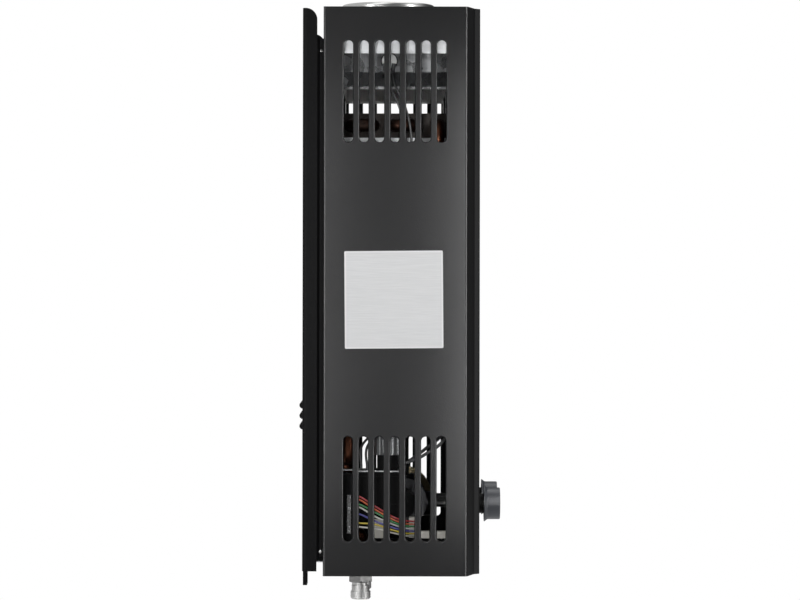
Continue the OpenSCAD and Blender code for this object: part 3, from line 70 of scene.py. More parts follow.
def place(x, y, z):
    """A point given in millimetres above the bottom of the case."""
    return Vector((x * MM, y * MM, (z - HANG) * MM))


# Camera: square to the left side of the case, from about three metres

PHOTO_W = 800
FOCAL_PX = 2995
SENSOR = 36
AXIS_PX = (394, 275)
PHOTO_CENTRE = (400, 300)
CAMERA_AT = (-3270, -94.8, 312)
ROLL = math.radians(0.1)
# The camera's right is -Y, its up is +Z, and it looks along +X
SIDE_ON = ((0, 0, -1), (-1, 0, 0), (0, 1, 0))


def make_camera():
    data = bpy.data.cameras.new("side_camera")
    data.sensor_width = SENSOR
    data.lens = FOCAL_PX / PHOTO_W * SENSOR
    data.shift_x = (PHOTO_CENTRE[0] - AXIS_PX[0]) / PHOTO_W
    data.shift_y = (AXIS_PX[1] - PHOTO_CENTRE[1]) / PHOTO_W
    camera = bpy.data.objects.new("side_camera", data)
    scene.collection.objects.link(camera)
    stand = Matrix.Translation(place(*CAMERA_AT))
    camera.matrix_world = stand @ Matrix(SIDE_ON).to_4x4() @ Matrix.Rotation(ROLL, 4, "Z")
    scene.camera = camera


make_camera()


# Small tools for node trees

def add(tree, kind, **settings):
    made = tree.nodes.new(kind)
    for name, value in settings.items():
        setattr(made, name, value)
    return made


def fill(made, **values):
    """Sets a node's inputs, written with _ for the spaces in their names."""
    for name, value in values.items():
        made.inputs[name.replace("_", " ")].default_value = value
    return made


def join(tree, value, socket):
    """Links a socket to another one, or sets it where the value is a plain one."""
    if isinstance(value, bpy.types.NodeSocket):
        tree.links.new(value, socket)
    else:
        socket.default_value = value


def math_node(tree, operation, first, second, clamp=False):
    made = add(tree, "ShaderNodeMath", operation=operation, use_clamp=clamp)
    join(tree, first, made.inputs[0])
    join(tree, second, made.inputs[1])
    return made.outputs[0]


def vector_node(tree, operation, first, second=None):
    """Gives the node's outputs: the vector first, and Value where the result is a number."""
    made = add(tree, "ShaderNodeVectorMath", operation=operation)
    join(tree, first, made.inputs[0])
    if second is not None:
        join(tree, second, made.inputs[1])
    return made.outputs


def spread(tree, value, low, high, start=0.0, end=1.0):
    """A value that goes from start to end, laid out between low and high."""
    made = fill(add(tree, "ShaderNodeMapRange", clamp=True), From_Min=start, From_Max=end)
    tree.links.new(value, made.inputs["Value"])
    join(tree, low, made.inputs["To Min"])
    join(tree, high, made.inputs["To Max"])
    return made.outputs["Result"]


# Sockets of a Mix node when it mixes colours: the factor and the two colours, and the result
MIX_INPUTS = (0, 6, 7)
MIX_RESULT = 2


def mix_colours(tree, factor, first, second):
    made = add(tree, "ShaderNodeMix", data_type="RGBA")
    for index, value in zip(MIX_INPUTS, (factor, first, second)):
        join(tree, value, made.inputs[index])
    return made.outputs[MIX_RESULT]


def noise(tree, coords, scale, detail=3.0):
    made = fill(add(tree, "ShaderNodeTexNoise"), Detail=detail)
    tree.links.new(coords, made.inputs["Vector"])
    join(tree, scale, made.inputs["Scale"])
    return made.outputs["Fac"]


def on_object(tree):
    return add(tree, "ShaderNodeTexCoord").outputs["Object"]


def from_point(tree, point, tilt=0.0):
    """Object coordinates counted from a point, on axes tilted about X."""
    made = add(tree, "ShaderNodeMapping", vector_type="TEXTURE")
    fill(made, Location=point, Rotation=(tilt, 0, 0))
    tree.links.new(on_object(tree), made.inputs["Vector"])
    return made.outputs[0]


def surface_normal(tree):
    return add(tree, "ShaderNodeNewGeometry").outputs["Normal"]


def rgba(colour):
    return (*colour, 1)


# Stage: pale floor, white surroundings and soft lamps

# The floor lies this many millimetres below the part, and is this many metres across
FLOOR_DROP = 1000
FLOOR_SIZE = 14
FLOOR_GREY = (0.42, 0.42, 0.43, 1)
WHITE = (1, 1, 1, 1)
# How bright the floor and the room are to the eye, and as they light the object
FLOOR_LIGHT = (0.80, 0.22)
ROOM_LIGHT = (1.0, 0.5)

# Two sides of the room are dark, which shows only in reflections: the far front, and the camera's side.
# Each: the direction, how bright it is at its darkest, and where along it the dark begins and is full
DARK_SIDES = [
    ((0.80, -0.60, 0.0), 0.05, 0.40, 0.80),
    ((-1.0, 0.0, 0.0), 0.18, 0.20, 0.85),
]


def room_light(tree, direction, seen, lighting):
    """Strength of the white room: as the camera or glass sees it, as mirrored, and as it gives light."""
    darks = []
    for side, darkest, begins, full in DARK_SIDES:
        towards = vector_node(tree, "DOT_PRODUCT", direction, side)["Value"]
        darks.append(spread(tree, towards, seen, seen * darkest, begins, full))
    path = add(tree, "ShaderNodeLightPath").outputs
    mirrored = spread(tree, path["Is Glossy Ray"], lighting, math_node(tree, "MINIMUM", *darks))
    direct = math_node(tree, "MAXIMUM", path["Is Camera Ray"], path["Is Transmission Ray"])
    return spread(tree, direct, mirrored, seen)


def make_floor():
    mesh = bpy.data.meshes.new("floor")
    half = FLOOR_SIZE / 2
    level = cad_box[0][2] - FLOOR_DROP * MM
    corners = [(-half, -half, level), (half, -half, level), (half, half, level), (-half, half, level)]
    mesh.from_pydata(corners, [], [(0, 1, 2, 3)])
    floor = bpy.data.objects.new("floor", mesh)
    scene.collection.objects.link(floor)
    material = bpy.data.materials.new("pale_floor")
    material.use_nodes = True
    tree = material.node_tree
    tree.nodes.clear()
    # Seen or mirrored, the floor meets the white surroundings; it still takes a shadow
    matt = fill(add(tree, "ShaderNodeBsdfDiffuse"), Color=FLOOR_GREY)
    glow = add(tree, "ShaderNodeEmission")
    outwards = vector_node(tree, "NORMALIZE", on_object(tree))[0]
    tree.links.new(room_light(tree, outwards, *FLOOR_LIGHT), glow.inputs["Strength"])
    both = add(tree, "ShaderNodeAddShader")
    tree.links.new(matt.outputs[0], both.inputs[0])
    tree.links.new(glow.outputs[0], both.inputs[1])
    tree.links.new(both.outputs[0], add(tree, "ShaderNodeOutputMaterial").inputs["Surface"])
    mesh.materials.append(material)


def make_surroundings():
    world = bpy.data.worlds.new("white_studio")
    scene.world = world
    world.use_nodes = True
    tree = world.node_tree
    tree.nodes.clear()
    direction = add(tree, "ShaderNodeTexCoord").outputs["Generated"]
    sky = fill(add(tree, "ShaderNodeBackground"), Color=WHITE)
    tree.links.new(room_light(tree, direction, *ROOM_LIGHT), sky.inputs["Strength"])
    tree.links.new(sky.outputs[0], add(tree, "ShaderNodeOutputWorld").inputs["Surface"])


def make_lamp(name, where, towards, size, power, serves):
    data = bpy.data.lights.new(name, "AREA")
    data.shape = "RECTANGLE"
    data.size, data.size_y = (side * MM for side in size)
    data.energy = power
    lamp = bpy.data.objects.new(name, data)
    scene.collection.objects.link(lamp)
    start = place(*where)
    facing = (place(*towards) - start).to_track_quat("-Z", "Y")
    lamp.matrix_world = Matrix.Translation(start) @ facing.to_matrix().to_4x4()
    lamp.visible_camera = False
    for setting, value in serves.items():
        setattr(lamp, setting, value)


MIDDLE = (0, -95, 300)
MATT = {"visible_glossy": False}
GLOSS = {"visible_diffuse": False}
# Each lamp: name, place, the point it faces, width and height, watts, and whether it serves only matt
# or only glossy surfaces
LAMPS = [
    ("high_side", (-1500, 500, 2100), MIDDLE, (1300, 1300), 27, {}),
    ("top_light", (500, -600, 2300), MIDDLE, (1400, 1400), 14, {}),
    ("camera_fill", (-3100, -95, 330), MIDDLE, (300, 300), 9.5, MATT),
    ("rear_strip", (-1200, 1130, 310), MIDDLE, (200, 1000), 14, GLOSS),
    ("rim_softbox", (-1000, 330, 300), (0, 60, 300), (120, 620), 6, GLOSS),
    ("rear_softbox", (-520, 18, 290), (0, 18, 290), (50, 480), 0.42, GLOSS),
    ("panel_softbox", (-470, -212, 286), (0, -212, 286), (40, 500), 1.2, GLOSS),
    ("front_strip", (-900, -1500, 310), MIDDLE, (200, 1000), 20, GLOSS),
]

make_floor()
make_surroundings()
for lamp in LAMPS:
    make_lamp(*lamp)
scene.view_settings.view_transform = "Standard"


# Shader groups shared by the finishes

def shader_group(name, inputs, outputs):
    """An empty group with its named number sockets; gives its tree and its two ends."""
    tree = bpy.data.node_groups.new(name, "ShaderNodeTree")
    for label, value in inputs.items():
        kind = "NodeSocketVector" if isinstance(value, tuple) else "NodeSocketFloat"
        tree.interface.new_socket(label, in_out="INPUT", socket_type=kind).default_value = value
    for label in outputs:
        tree.interface.new_socket(label, in_out="OUTPUT", socket_type="NodeSocketFloat")
    return tree, add(tree, "NodeGroupInput").outputs, add(tree, "NodeGroupOutput").inputs


# Most of a soft noise and of the drawn lines lies between these
NOISE_RANGE = (0.1, 0.9)
LINE_RANGE = (0.3, 0.7)
# Sizes of the slow drifts, as noise scales
GLOSS_DRIFT = 11.0
TONE_DRIFT = 23.0
# How nearly the rounded normal agrees with the surface's own: at a sharp edge, and on a flat face
EDGE_TURN = (0.80, 0.99)
BREAK_RANGE = (0.4, 0.65)
ZINC_GRAIN = 420.0


def make_fine_skin():
    """Orange peel or moulding grain, with a roughness and a tone that drift slowly."""
    tree, given, out = shader_group(
        "fine_skin", {"Scale": 900.0, "Roughness": 0.4, "Drift": 0.06}, ("Height", "Roughness", "Tone"))
    coords = on_object(tree)
    tree.links.new(noise(tree, coords, given["Scale"], 2.0), out["Height"])
    cloud = spread(tree, noise(tree, coords, GLOSS_DRIFT), -1.0, 1.0, *NOISE_RANGE)
    rise = math_node(tree, "MULTIPLY", cloud, given["Drift"])
    tree.links.new(math_node(tree, "ADD", given["Roughness"], rise), out["Roughness"])
    tree.links.new(spread(tree, noise(tree, coords, TONE_DRIFT), 0.0, 1.0, *NOISE_RANGE), out["Tone"])
    return tree


def make_worn_edge():
    """A broken line along the sharp edges, where hands and tools rub."""
    tree, given, out = shader_group("worn_edge", {"Radius": 0.0008, "Breaks": 160.0, "Wear": 0.5}, ("Mask",))
    bevel = add(tree, "ShaderNodeBevel", samples=4)
    tree.links.new(given["Radius"], bevel.inputs["Radius"])
    facing = vector_node(tree, "DOT_PRODUCT", bevel.outputs["Normal"], surface_normal(tree))["Value"]
    edge = spread(tree, facing, 1.0, 0.0, *EDGE_TURN)
    breaks = spread(tree, noise(tree, on_object(tree), given["Breaks"]), 0.0, 1.0, *BREAK_RANGE)
    worn = math_node(tree, "MULTIPLY", edge, breaks)
    tree.links.new(math_node(tree, "MULTIPLY", worn, given["Wear"]), out["Mask"])
    return tree


def make_drawn_lines():
    """Fine lines left by rolling, brushing or drawing, long along one direction."""
    tree, given, out = shader_group(
        "drawn_lines", {"Stretch": (1.0, 1.0, 60.0), "Scale": 60.0}, ("Height", "Tone"))
    squeezed = vector_node(tree, "MULTIPLY", on_object(tree), given["Stretch"])[0]
    lines = noise(tree, squeezed, given["Scale"], 4.0)
    tree.links.new(lines, out["Height"])
    tree.links.new(spread(tree, lines, 0.0, 1.0, *LINE_RANGE), out["Tone"])
    return tree


def make_spangle():
    """The grown crystals of hot-dip zinc: one tone to each crystal."""
    tree, given, out = shader_group("spangle", {"Scale": 160.0}, ("Tone", "Height"))
    coords = on_object(tree)
    crystal = fill(add(tree, "ShaderNodeTexVoronoi"), Randomness=1.0)
    tree.links.new(coords, crystal.inputs["Vector"])
    tree.links.new(given["Scale"], crystal.inputs["Scale"])
    part = add(tree, "ShaderNodeSeparateColor")
    tree.links.new(crystal.outputs["Color"], part.inputs[0])
    tree.links.new(part.outputs[0], out["Tone"])
    tree.links.new(noise(tree, coords, ZINC_GRAIN), out["Height"])
    return tree


# A patch is where broad and finer noise add up to more than a threshold, which falls as the cover rises
PATCH_FINER = 9.0
PATCH_BROAD = 0.75
PATCH_FINE = 0.25
PATCH_THRESHOLD = 0.80
PATCH_FALL = 0.6
PATCH_CONTRAST = 5.0


def make_patches():
    """Blotches of tarnish, soot, dust or grease with soft ragged borders."""
    tree, given, out = shader_group("patches", {"Scale": 18.0, "Cover": 0.4}, ("Mask",))
    coords = on_object(tree)
    broad = noise(tree, coords, given["Scale"], 6.0)
    fine = noise(tree, coords, math_node(tree, "MULTIPLY", given["Scale"], PATCH_FINER), 4.0)
    broad_share = math_node(tree, "MULTIPLY", broad, PATCH_BROAD)
    fine_share = math_node(tree, "MULTIPLY", fine, PATCH_FINE)
    both = math_node(tree, "ADD", broad_share, fine_share)
    fall = math_node(tree, "MULTIPLY", given["Cover"], PATCH_FALL)
    least = math_node(tree, "SUBTRACT", PATCH_THRESHOLD, fall)
    above = math_node(tree, "SUBTRACT", both, least)
    tree.links.new(math_node(tree, "MULTIPLY", above, PATCH_CONTRAST, clamp=True), out["Mask"])
    return tree


FINE_SKIN = make_fine_skin()
WORN_EDGE = make_worn_edge()
DRAWN_LINES = make_drawn_lines()
SPANGLE = make_spangle()
PATCHES = make_patches()


# Finishes

# How a metal's lines are squeezed, so that they run along Z, X or Y
UPRIGHT = (60.0, 60.0, 1.0)
ACROSS = (1.0, 60.0, 60.0)
DEEP = (60.0, 1.0, 60.0)
# Depths of the fine relief, in metres
DRAWN_RELIEF = 0.00002
SMOOTH_RELIEF = 0.00003
ZINC_RELIEF = 0.00004
TRACK_RELIEF = 0.00004
MOULD_RELIEF = 0.00005
PEEL_RELIEF = 0.00007
GRAIN_RELIEF = 0.00008
RUBBER_RELIEF = 0.00012
CAST_RELIEF = 0.00018
# Colours inside a finish
CUT_ZINC = (0.85, 0.86, 0.87, 1)
LENS_SMOKE = (0.10, 0.11, 0.12, 1)
SOLDER_MASK = ((0.010, 0.085, 0.040, 1), (0.014, 0.110, 0.052, 1))
BOARD_TRACKS = (0.040, 0.190, 0.090, 1)
CELL_FOIL = ((0.030, 0.050, 0.080, 1), (0.042, 0.066, 0.100, 1))
CELL_BAND = (0.46, 0.46, 0.47, 1)
VINYL_BLOOM = (0.6, 0.6, 0.6, 1)
VINYL_DUST = (0.35, 0.34, 0.33, 1)
FILM = ((0.66, 0.665, 0.67, 1), (0.73, 0.735, 0.74, 1))
FILM_BORDER = (0.80, 0.80, 0.80, 1)


def blank(name):
    material = bpy.data.materials.new(name)
    material.use_nodes = True
    tree = material.node_tree
    return material, tree, tree.nodes["Principled BSDF"]


def use(tree, group, **values):
    return fill(add(tree, "ShaderNodeGroup", node_tree=group), **values).outputs


def relief(tree, shader, height, depth):
    bump = fill(add(tree, "ShaderNodeBump"), Distance=depth)
    tree.links.new(height, bump.inputs["Height"])
    tree.links.new(bump.outputs["Normal"], shader.inputs["Normal"])


def shade(colour, factor):
    return rgba([part * factor for part in colour])


def painted(name, colour, rubbed, roughness, level, wear):
    """Powder coat: orange peel, a slow drift of gloss, a breath of dust and rubbed edges."""
    material, tree, shader = blank(name)
    fill(shader, Specular_IOR_Level=level)
    skin = use(tree, FINE_SKIN, Scale=850.0, Roughness=roughness, Drift=0.02)
    edge = use(tree, WORN_EDGE, Wear=wear)["Mask"]
    dust = noise(tree, on_object(tree), 6.0, 1.0)
    coat = mix_colours(tree, skin["Tone"], rgba(colour), shade(colour, 1.15))
    coat = mix_colours(tree, dust, coat, shade(colour, 1.25))
    join(tree, mix_colours(tree, edge, coat, rgba(rubbed)), shader.inputs["Base Color"])
    join(tree, skin["Roughness"], shader.inputs["Roughness"])
    relief(tree, shader, skin["Height"], PEEL_RELIEF)
    return material


def drawn_metal(name, colour, stain, cover, gloss, stretch):
    """Sheet, tube or bar: lines along one direction, and patches that have dulled."""
    material, tree, shader = blank(name)
    fill(shader, Metallic=1.0)
    lines = use(tree, DRAWN_LINES, Stretch=stretch)
    patch = use(tree, PATCHES, Cover=cover)["Mask"]
    bright = mix_colours(tree, lines["Tone"], shade(colour, 0.86), rgba(colour))
    join(tree, mix_colours(tree, patch, bright, rgba(stain)), shader.inputs["Base Color"])
    sheen = spread(tree, patch, *gloss)
    streak = spread(tree, lines["Tone"], -0.04, 0.04)
    join(tree, math_node(tree, "ADD", sheen, streak), shader.inputs["Roughness"])
    relief(tree, shader, lines["Height"], DRAWN_RELIEF)
    return material


def zinc_coated(name, colour, roughness, crystals):
    """Hot-dip zinc: spangle, dull patches and bright cut edges."""
    material, tree, shader = blank(name)
    fill(shader, Metallic=1.0)
    grown = use(tree, SPANGLE, Scale=crystals)
    bloom = use(tree, PATCHES, Scale=26.0, Cover=0.42)["Mask"]
    edge = use(tree, WORN_EDGE, Radius=0.0005, Wear=0.8)["Mask"]
    coat = mix_colours(tree, grown["Tone"], shade(colour, 0.88), shade(colour, 1.08))
    coat = mix_colours(tree, bloom, coat, shade(colour, 0.94))
    join(tree, mix_colours(tree, edge, coat, CUT_ZINC), shader.inputs["Base Color"])
    facet = spread(tree, grown["Tone"], roughness - 0.04, roughness + 0.04)
    dull = math_node(tree, "ADD", facet, spread(tree, bloom, 0.0, 0.08))
    join(tree, dull, shader.inputs["Roughness"])
    relief(tree, shader, grown["Height"], ZINC_RELIEF)
    return material


def hood_zinc(name, colour, painted_inner_light, middle):
    """Zinc sheet, dark grey outside as painted shade for the dim inside of the case, and pale and matt where
    it faces its own middle, as painted light on the unlit inner wall.
    """
    material, tree, shader = blank(name)
    grown = use(tree, SPANGLE, Scale=90.0)
    lines = use(tree, DRAWN_LINES, Stretch=UPRIGHT, Scale=14.0)
    outwards = vector_node(tree, "MULTIPLY", from_point(tree, middle), (1, 1, 0))[0]
    facing = vector_node(tree, "DOT_PRODUCT", outwards, surface_normal(tree))["Value"]
    inside = math_node(tree, "LESS_THAN", facing, 0.0)
    # The dark grey of the zinc is painted shade for the dim inside of the case
    coat = mix_colours(tree, grown["Tone"], shade(colour, 0.8), shade(colour, 1.15))
    coat = mix_colours(tree, lines["Tone"], coat, shade(colour, 1.3))
    # Painted light: the faces towards the hood's middle turn pale and matt, in place of light that does not
    # reach them
    join(tree, mix_colours(tree, inside, coat, rgba(painted_inner_light)), shader.inputs["Base Color"])
    join(tree, spread(tree, inside, 1.0, 0.1), shader.inputs["Metallic"])
    join(tree, spread(tree, grown["Tone"], 0.24, 0.38), shader.inputs["Roughness"])
    relief(tree, shader, grown["Height"], ZINC_RELIEF)
    return material


# Radii over which the thermostat's cap and the dark ring round it end, in metres
CAP_EDGE = (0.0076, 0.0080)
RING_EDGE = (0.0089, 0.0092)


def snap_disc(name, middle, colours):
    """A bright cap inside a dark ring on a grey bracket; middle is the cap's own, on the Y-Z side."""
    material, tree, shader = blank(name)
    across = vector_node(tree, "MULTIPLY", from_point(tree, middle), (0, 1, 1))[0]
    radius = vector_node(tree, "LENGTH", across)["Value"]
    skin = use(tree, FINE_SKIN, Scale=900.0, Roughness=0.34, Drift=0.05)
    cap = spread(tree, radius, 1.0, 0.0, *CAP_EDGE)
    rim = spread(tree, radius, 1.0, 0.0, *RING_EDGE)
    around = mix_colours(tree, rim, rgba(colours["bracket"]), rgba(colours["rim"]))
    bright = mix_colours(tree, skin["Tone"], shade(colours["cap"], 0.94), rgba(colours["cap"]))
    join(tree, mix_colours(tree, cap, around, bright), shader.inputs["Base Color"])
    join(tree, spread(tree, cap, 0.6, 0.2), shader.inputs["Metallic"])
    join(tree, skin["Roughness"], shader.inputs["Roughness"])
    relief(tree, shader, skin["Height"], SMOOTH_RELIEF)
    return material


def cast_metal(name, colour, stain, gloss):
    """Sand or pressure castings: a pebbled skin, stains and rubbed corners."""
    material, tree, shader = blank(name)
    fill(shader, Metallic=1.0)
    skin = use(tree, FINE_SKIN, Scale=620.0, Roughness=gloss, Drift=0.08)
    patch = use(tree, PATCHES, Scale=30.0, Cover=0.46)["Mask"]
    edge = use(tree, WORN_EDGE, Radius=0.001, Wear=0.7)["Mask"]
    cast = mix_colours(tree, skin["Tone"], shade(colour, 0.82), rgba(colour))
    cast = mix_colours(tree, patch, cast, rgba(stain))
    join(tree, mix_colours(tree, edge, cast, shade(colour, 1.2)), shader.inputs["Base Color"])
    join(tree, skin["Roughness"], shader.inputs["Roughness"])
    relief(tree, shader, skin["Height"], CAST_RELIEF)
    return material


def moulded(name, colour, rubbed, roughness, grain, depth, level=0.4, wear=0.35):
    """Moulded plastic, rubber or fired ceramic: a fine grain, a drift of tone and rubbed edges."""
    material, tree, shader = blank(name)
    fill(shader, Specular_IOR_Level=level)
    skin = use(tree, FINE_SKIN, Scale=grain, Roughness=roughness, Drift=0.07)
    edge = use(tree, WORN_EDGE, Radius=0.0006, Wear=wear)["Mask"]
    smear = use(tree, PATCHES, Scale=45.0, Cover=0.38)["Mask"]
    body = mix_colours(tree, skin["Tone"], shade(colour, 0.88), shade(colour, 1.1))
    join(tree, mix_colours(tree, edge, body, rgba(rubbed)), shader.inputs["Base Color"])
    smeared = math_node(tree, "SUBTRACT", skin["Roughness"], spread(tree, smear, 0.0, 0.09))
    join(tree, smeared, shader.inputs["Roughness"])
    relief(tree, shader, skin["Height"], depth)
    return material


def smoked_lens(name):
    """Clear plastic, smoked and a little scuffed."""
    material, tree, shader = blank(name)
    fill(shader, Base_Color=LENS_SMOKE, Transmission_Weight=0.85, IOR=1.49)
    scuff = use(tree, PATCHES, Scale=60.0, Cover=0.36)["Mask"]
    join(tree, spread(tree, scuff, 0.05, 0.16), shader.inputs["Roughness"])
    return material


def circuit_board(name):
    """Green solder mask with paler tracks under it."""
    material, tree, shader = blank(name)
    skin = use(tree, FINE_SKIN, Scale=1400.0, Roughness=0.34, Drift=0.05)
    turn = fill(add(tree, "ShaderNodeMapping"), Rotation=(math.radians(90), 0, 0))
    tree.links.new(on_object(tree), turn.inputs["Vector"])
    tracks = fill(add(tree, "ShaderNodeTexBrick"), Scale=150.0, Mortar_Size=0.035)
    tree.links.new(turn.outputs[0], tracks.inputs["Vector"])
    mask = mix_colours(tree, skin["Tone"], *SOLDER_MASK)
    colour = mix_colours(tree, tracks.outputs["Fac"], mask, BOARD_TRACKS)
    join(tree, colour, shader.inputs["Base Color"])
    join(tree, skin["Roughness"], shader.inputs["Roughness"])
    relief(tree, shader, tracks.outputs["Fac"], TRACK_RELIEF)
    return material


def wrapped_cell(name, band_from):
    """Shrunk foil round a dry cell, with a pale band from one place along X."""
    material, tree, shader = blank(name)
    skin = use(tree, FINE_SKIN, Scale=500.0, Roughness=0.3, Drift=0.06)
    along = add(tree, "ShaderNodeSeparateXYZ")
    tree.links.new(on_object(tree), along.inputs[0])
    band = math_node(tree, "GREATER_THAN", along.outputs["X"], band_from)
    wrap = mix_colours(tree, skin["Tone"], *CELL_FOIL)
    join(tree, mix_colours(tree, band, wrap, CELL_BAND), shader.inputs["Base Color"])
    join(tree, band, shader.inputs["Metallic"])
    join(tree, skin["Roughness"], shader.inputs["Roughness"])
    relief(tree, shader, skin["Height"], SMOOTH_RELIEF)
    return material


SLEEVE_COLOUR = "sleeve_colour"


def sleeved_wire(name):
    """Extruded vinyl in the colour that each wire carries, scuffed paler in places."""
    material, tree, shader = blank(name)
    own = add(tree, "ShaderNodeAttribute", attribute_name=SLEEVE_COLOUR).outputs["Color"]
    skin = use(tree, FINE_SKIN, Scale=1800.0, Roughness=0.42, Drift=0.08)
    scuff = use(tree, PATCHES, Scale=55.0, Cover=0.34)["Mask"]
    pale = mix_colours(tree, spread(tree, skin["Tone"], 0.0, 0.12), own, VINYL_BLOOM)
    dusty = mix_colours(tree, spread(tree, scuff, 0.0, 0.10), pale, VINYL_DUST)
    join(tree, dusty, shader.inputs["Base Color"])
    join(tree, skin["Roughness"], shader.inputs["Roughness"])
    relief(tree, shader, skin["Height"], SMOOTH_RELIEF)
    return material


# The lines of the label film run along Y; its border ends between these distances from the edge, in metres
FILM_LINES = (1.0, 1.0, 40.0)
BORDER_EDGE = (0.0012, 0.0020)


def label_film(name, middle, half, tilt):
    """Blank satin silver film with a brighter cut border; middle and half are in metres on the Y-Z side."""
    material, tree, shader = blank(name)
    fill(shader, Specular_IOR_Level=0.15)
    part = add(tree, "ShaderNodeSeparateXYZ")
    tree.links.new(from_point(tree, middle, tilt), part.inputs[0])
    across = math_node(tree, "SUBTRACT", half[0], math_node(tree, "ABSOLUTE", part.outputs["Y"], 0.0))
    upright = math_node(tree, "SUBTRACT", half[1], math_node(tree, "ABSOLUTE", part.outputs["Z"], 0.0))
    border = spread(tree, math_node(tree, "MINIMUM", across, upright), 1.0, 0.0, *BORDER_EDGE)
    lines = use(tree, DRAWN_LINES, Stretch=FILM_LINES, Scale=45.0)
    film = mix_colours(tree, lines["Tone"], *FILM)
    join(tree, mix_colours(tree, border, film, FILM_BORDER), shader.inputs["Base Color"])
    smear = use(tree, PATCHES, Scale=30.0, Cover=0.35)["Mask"]
    join(tree, spread(tree, smear, 0.50, 0.60), shader.inputs["Roughness"])
    relief(tree, shader, lines["Height"], DRAWN_RELIEF)
    return material


HOOD_MIDDLE = (0, -88, 520)
CAP_MIDDLE = (-128, -89.5, 536.5)
CAP_COLOURS = {"cap": (0.92, 0.92, 0.91), "rim": (0.02, 0.02, 0.02), "bracket": (0.16, 0.16, 0.165)}
CELL_BAND_FROM = -98 * MM

FINISHES = {
    "cover_paint": painted(
        "satin_black_paint", (0.0075, 0.0075, 0.0080), (0.040, 0.040, 0.041), 0.305, 0.28, 0.5),
    "plate_paint": painted(
        "plate_black_paint", (0.004, 0.004, 0.0043), (0.012, 0.012, 0.013), 0.50, 0.04, 0.3),
    "zinc_sheet": zinc_coated("zinc_sheet", (0.52, 0.53, 0.54), 0.38, 150.0),
    "stainless": drawn_metal(
        "stainless", (0.51, 0.51, 0.50), (0.38, 0.37, 0.355), 0.36, (0.30, 0.40), ACROSS),
    "copper": drawn_metal(
        "copper", (0.20, 0.078, 0.043), (0.060, 0.025, 0.017), 0.55, (0.28, 0.48), UPRIGHT),
    # Near-black tin on the heat exchanger
    "tinned_copper": drawn_metal(
        "dark_tin", (0.034, 0.031, 0.029), (0.018, 0.013, 0.011), 0.50, (0.34, 0.52), ACROSS),
    "brass": cast_metal("cast_brass", (0.42, 0.35, 0.22), (0.20, 0.165, 0.11), 0.36),
    "black_plastic": moulded(
        "black_moulding", (0.003, 0.003, 0.0033), (0.025, 0.025, 0.025), 0.50, 1500.0, GRAIN_RELIEF, 0.07),
    "slate_plastic": moulded(
        "slate_moulding", (0.066, 0.071, 0.083), (0.15, 0.16, 0.18), 0.36, 1300.0, MOULD_RELIEF),
    "ceramic": moulded(
        "glazed_ceramic", (0.80, 0.78, 0.73), (0.70, 0.66, 0.58), 0.22, 700.0, SMOOTH_RELIEF, 0.5, 0.2),
    "pale_plastic": moulded(
        "pale_moulding", (0.68, 0.66, 0.60), (0.78, 0.77, 0.74), 0.42, 1200.0, MOULD_RELIEF),
    "diaphragm_rubber": moulded(
        "rubber", (0.022, 0.020, 0.019), (0.05, 0.05, 0.05), 0.72, 900.0, RUBBER_RELIEF, 0.3),
    "lens": smoked_lens("smoked_lens"),
    "board": circuit_board("circuit_board"),
    "cell_wrap": wrapped_cell("cell_wrap", CELL_BAND_FROM),
    "wire_sleeve": sleeved_wire("wire_sleeve"),
}
PLATED = drawn_metal("nickel_plate", (0.42, 0.42, 0.415), (0.31, 0.307, 0.30), 0.44, (0.40, 0.52), DEEP)
# Pieces that are made another way than the rest of their slot
OWN_FINISHES = {
    "gas_valve": cast_metal("cast_alloy", (0.060, 0.060, 0.063), (0.032, 0.032, 0.032), 0.44),
    # The hood's dark grey is painted shade, and its pale inside is painted light
    "draft_hood": hood_zinc("hood_zinc", (0.24, 0.245, 0.25), (0.85, 0.85, 0.84), place(*HOOD_MIDDLE)),
    "thermostat": snap_disc("snap_disc", place(*CAP_MIDDLE), CAP_COLOURS),
    "flue_collar": drawn_metal(
        "flue_steel", (0.42, 0.42, 0.415), (0.30, 0.295, 0.285), 0.36, (0.30, 0.40), ACROSS),
    "hot_outlet": PLATED,
    "gas_inlet": PLATED,
    "cold_inlet": PLATED,
    "spark_cans": drawn_metal(
        "can_alloy", (0.27, 0.275, 0.28), (0.17, 0.17, 0.17), 0.42, (0.30, 0.42), UPRIGHT),
    # Dark tones on the heat exchanger's fins and tubes
    "exchanger_fins": drawn_metal(
        "dark_fins", (0.16, 0.075, 0.05), (0.05, 0.03, 0.022), 0.55, (0.36, 0.52), UPRIGHT),
    "exchanger_tubes": drawn_metal(
        "dark_copper", (0.036, 0.018, 0.013), (0.018, 0.012, 0.010), 0.55, (0.38, 0.52), ACROSS),
    "burner_bars": drawn_metal(
        "heated_steel", (0.56, 0.54, 0.52), (0.30, 0.22, 0.20), 0.50, (0.28, 0.42), DEEP),
    "gas_pipe": drawn_metal(
        "alloy_tube", (0.66, 0.67, 0.68), (0.52, 0.52, 0.53), 0.38, (0.28, 0.40), UPRIGHT),
}


def dress(object_, material):
    object_.data.materials.clear()
    object_.data.materials.append(material)


for part in frame["record"]["subparts"]:
    dress(nodes[part["node"]], OWN_FINISHES.get(part["node"], FINISHES[part["material_slot"]]))


# Pieces made with Geometry Nodes

def geometry_tree(name, **inputs):
    """An empty tree with its named inputs and a material; gives the tree, its given sockets and its end."""
    tree = bpy.data.node_groups.new(name, "GeometryNodeTree")
    for label, kind in {"Geometry": "Geometry", **inputs, "Material": "Material"}.items():
        tree.interface.new_socket(label, in_out="INPUT", socket_type="NodeSocket" + kind)
    tree.interface.new_socket("Geometry", in_out="OUTPUT", socket_type="NodeSocketGeometry")
    return tree, add(tree, "NodeGroupInput").outputs, add(tree, "NodeGroupOutput").inputs[0]


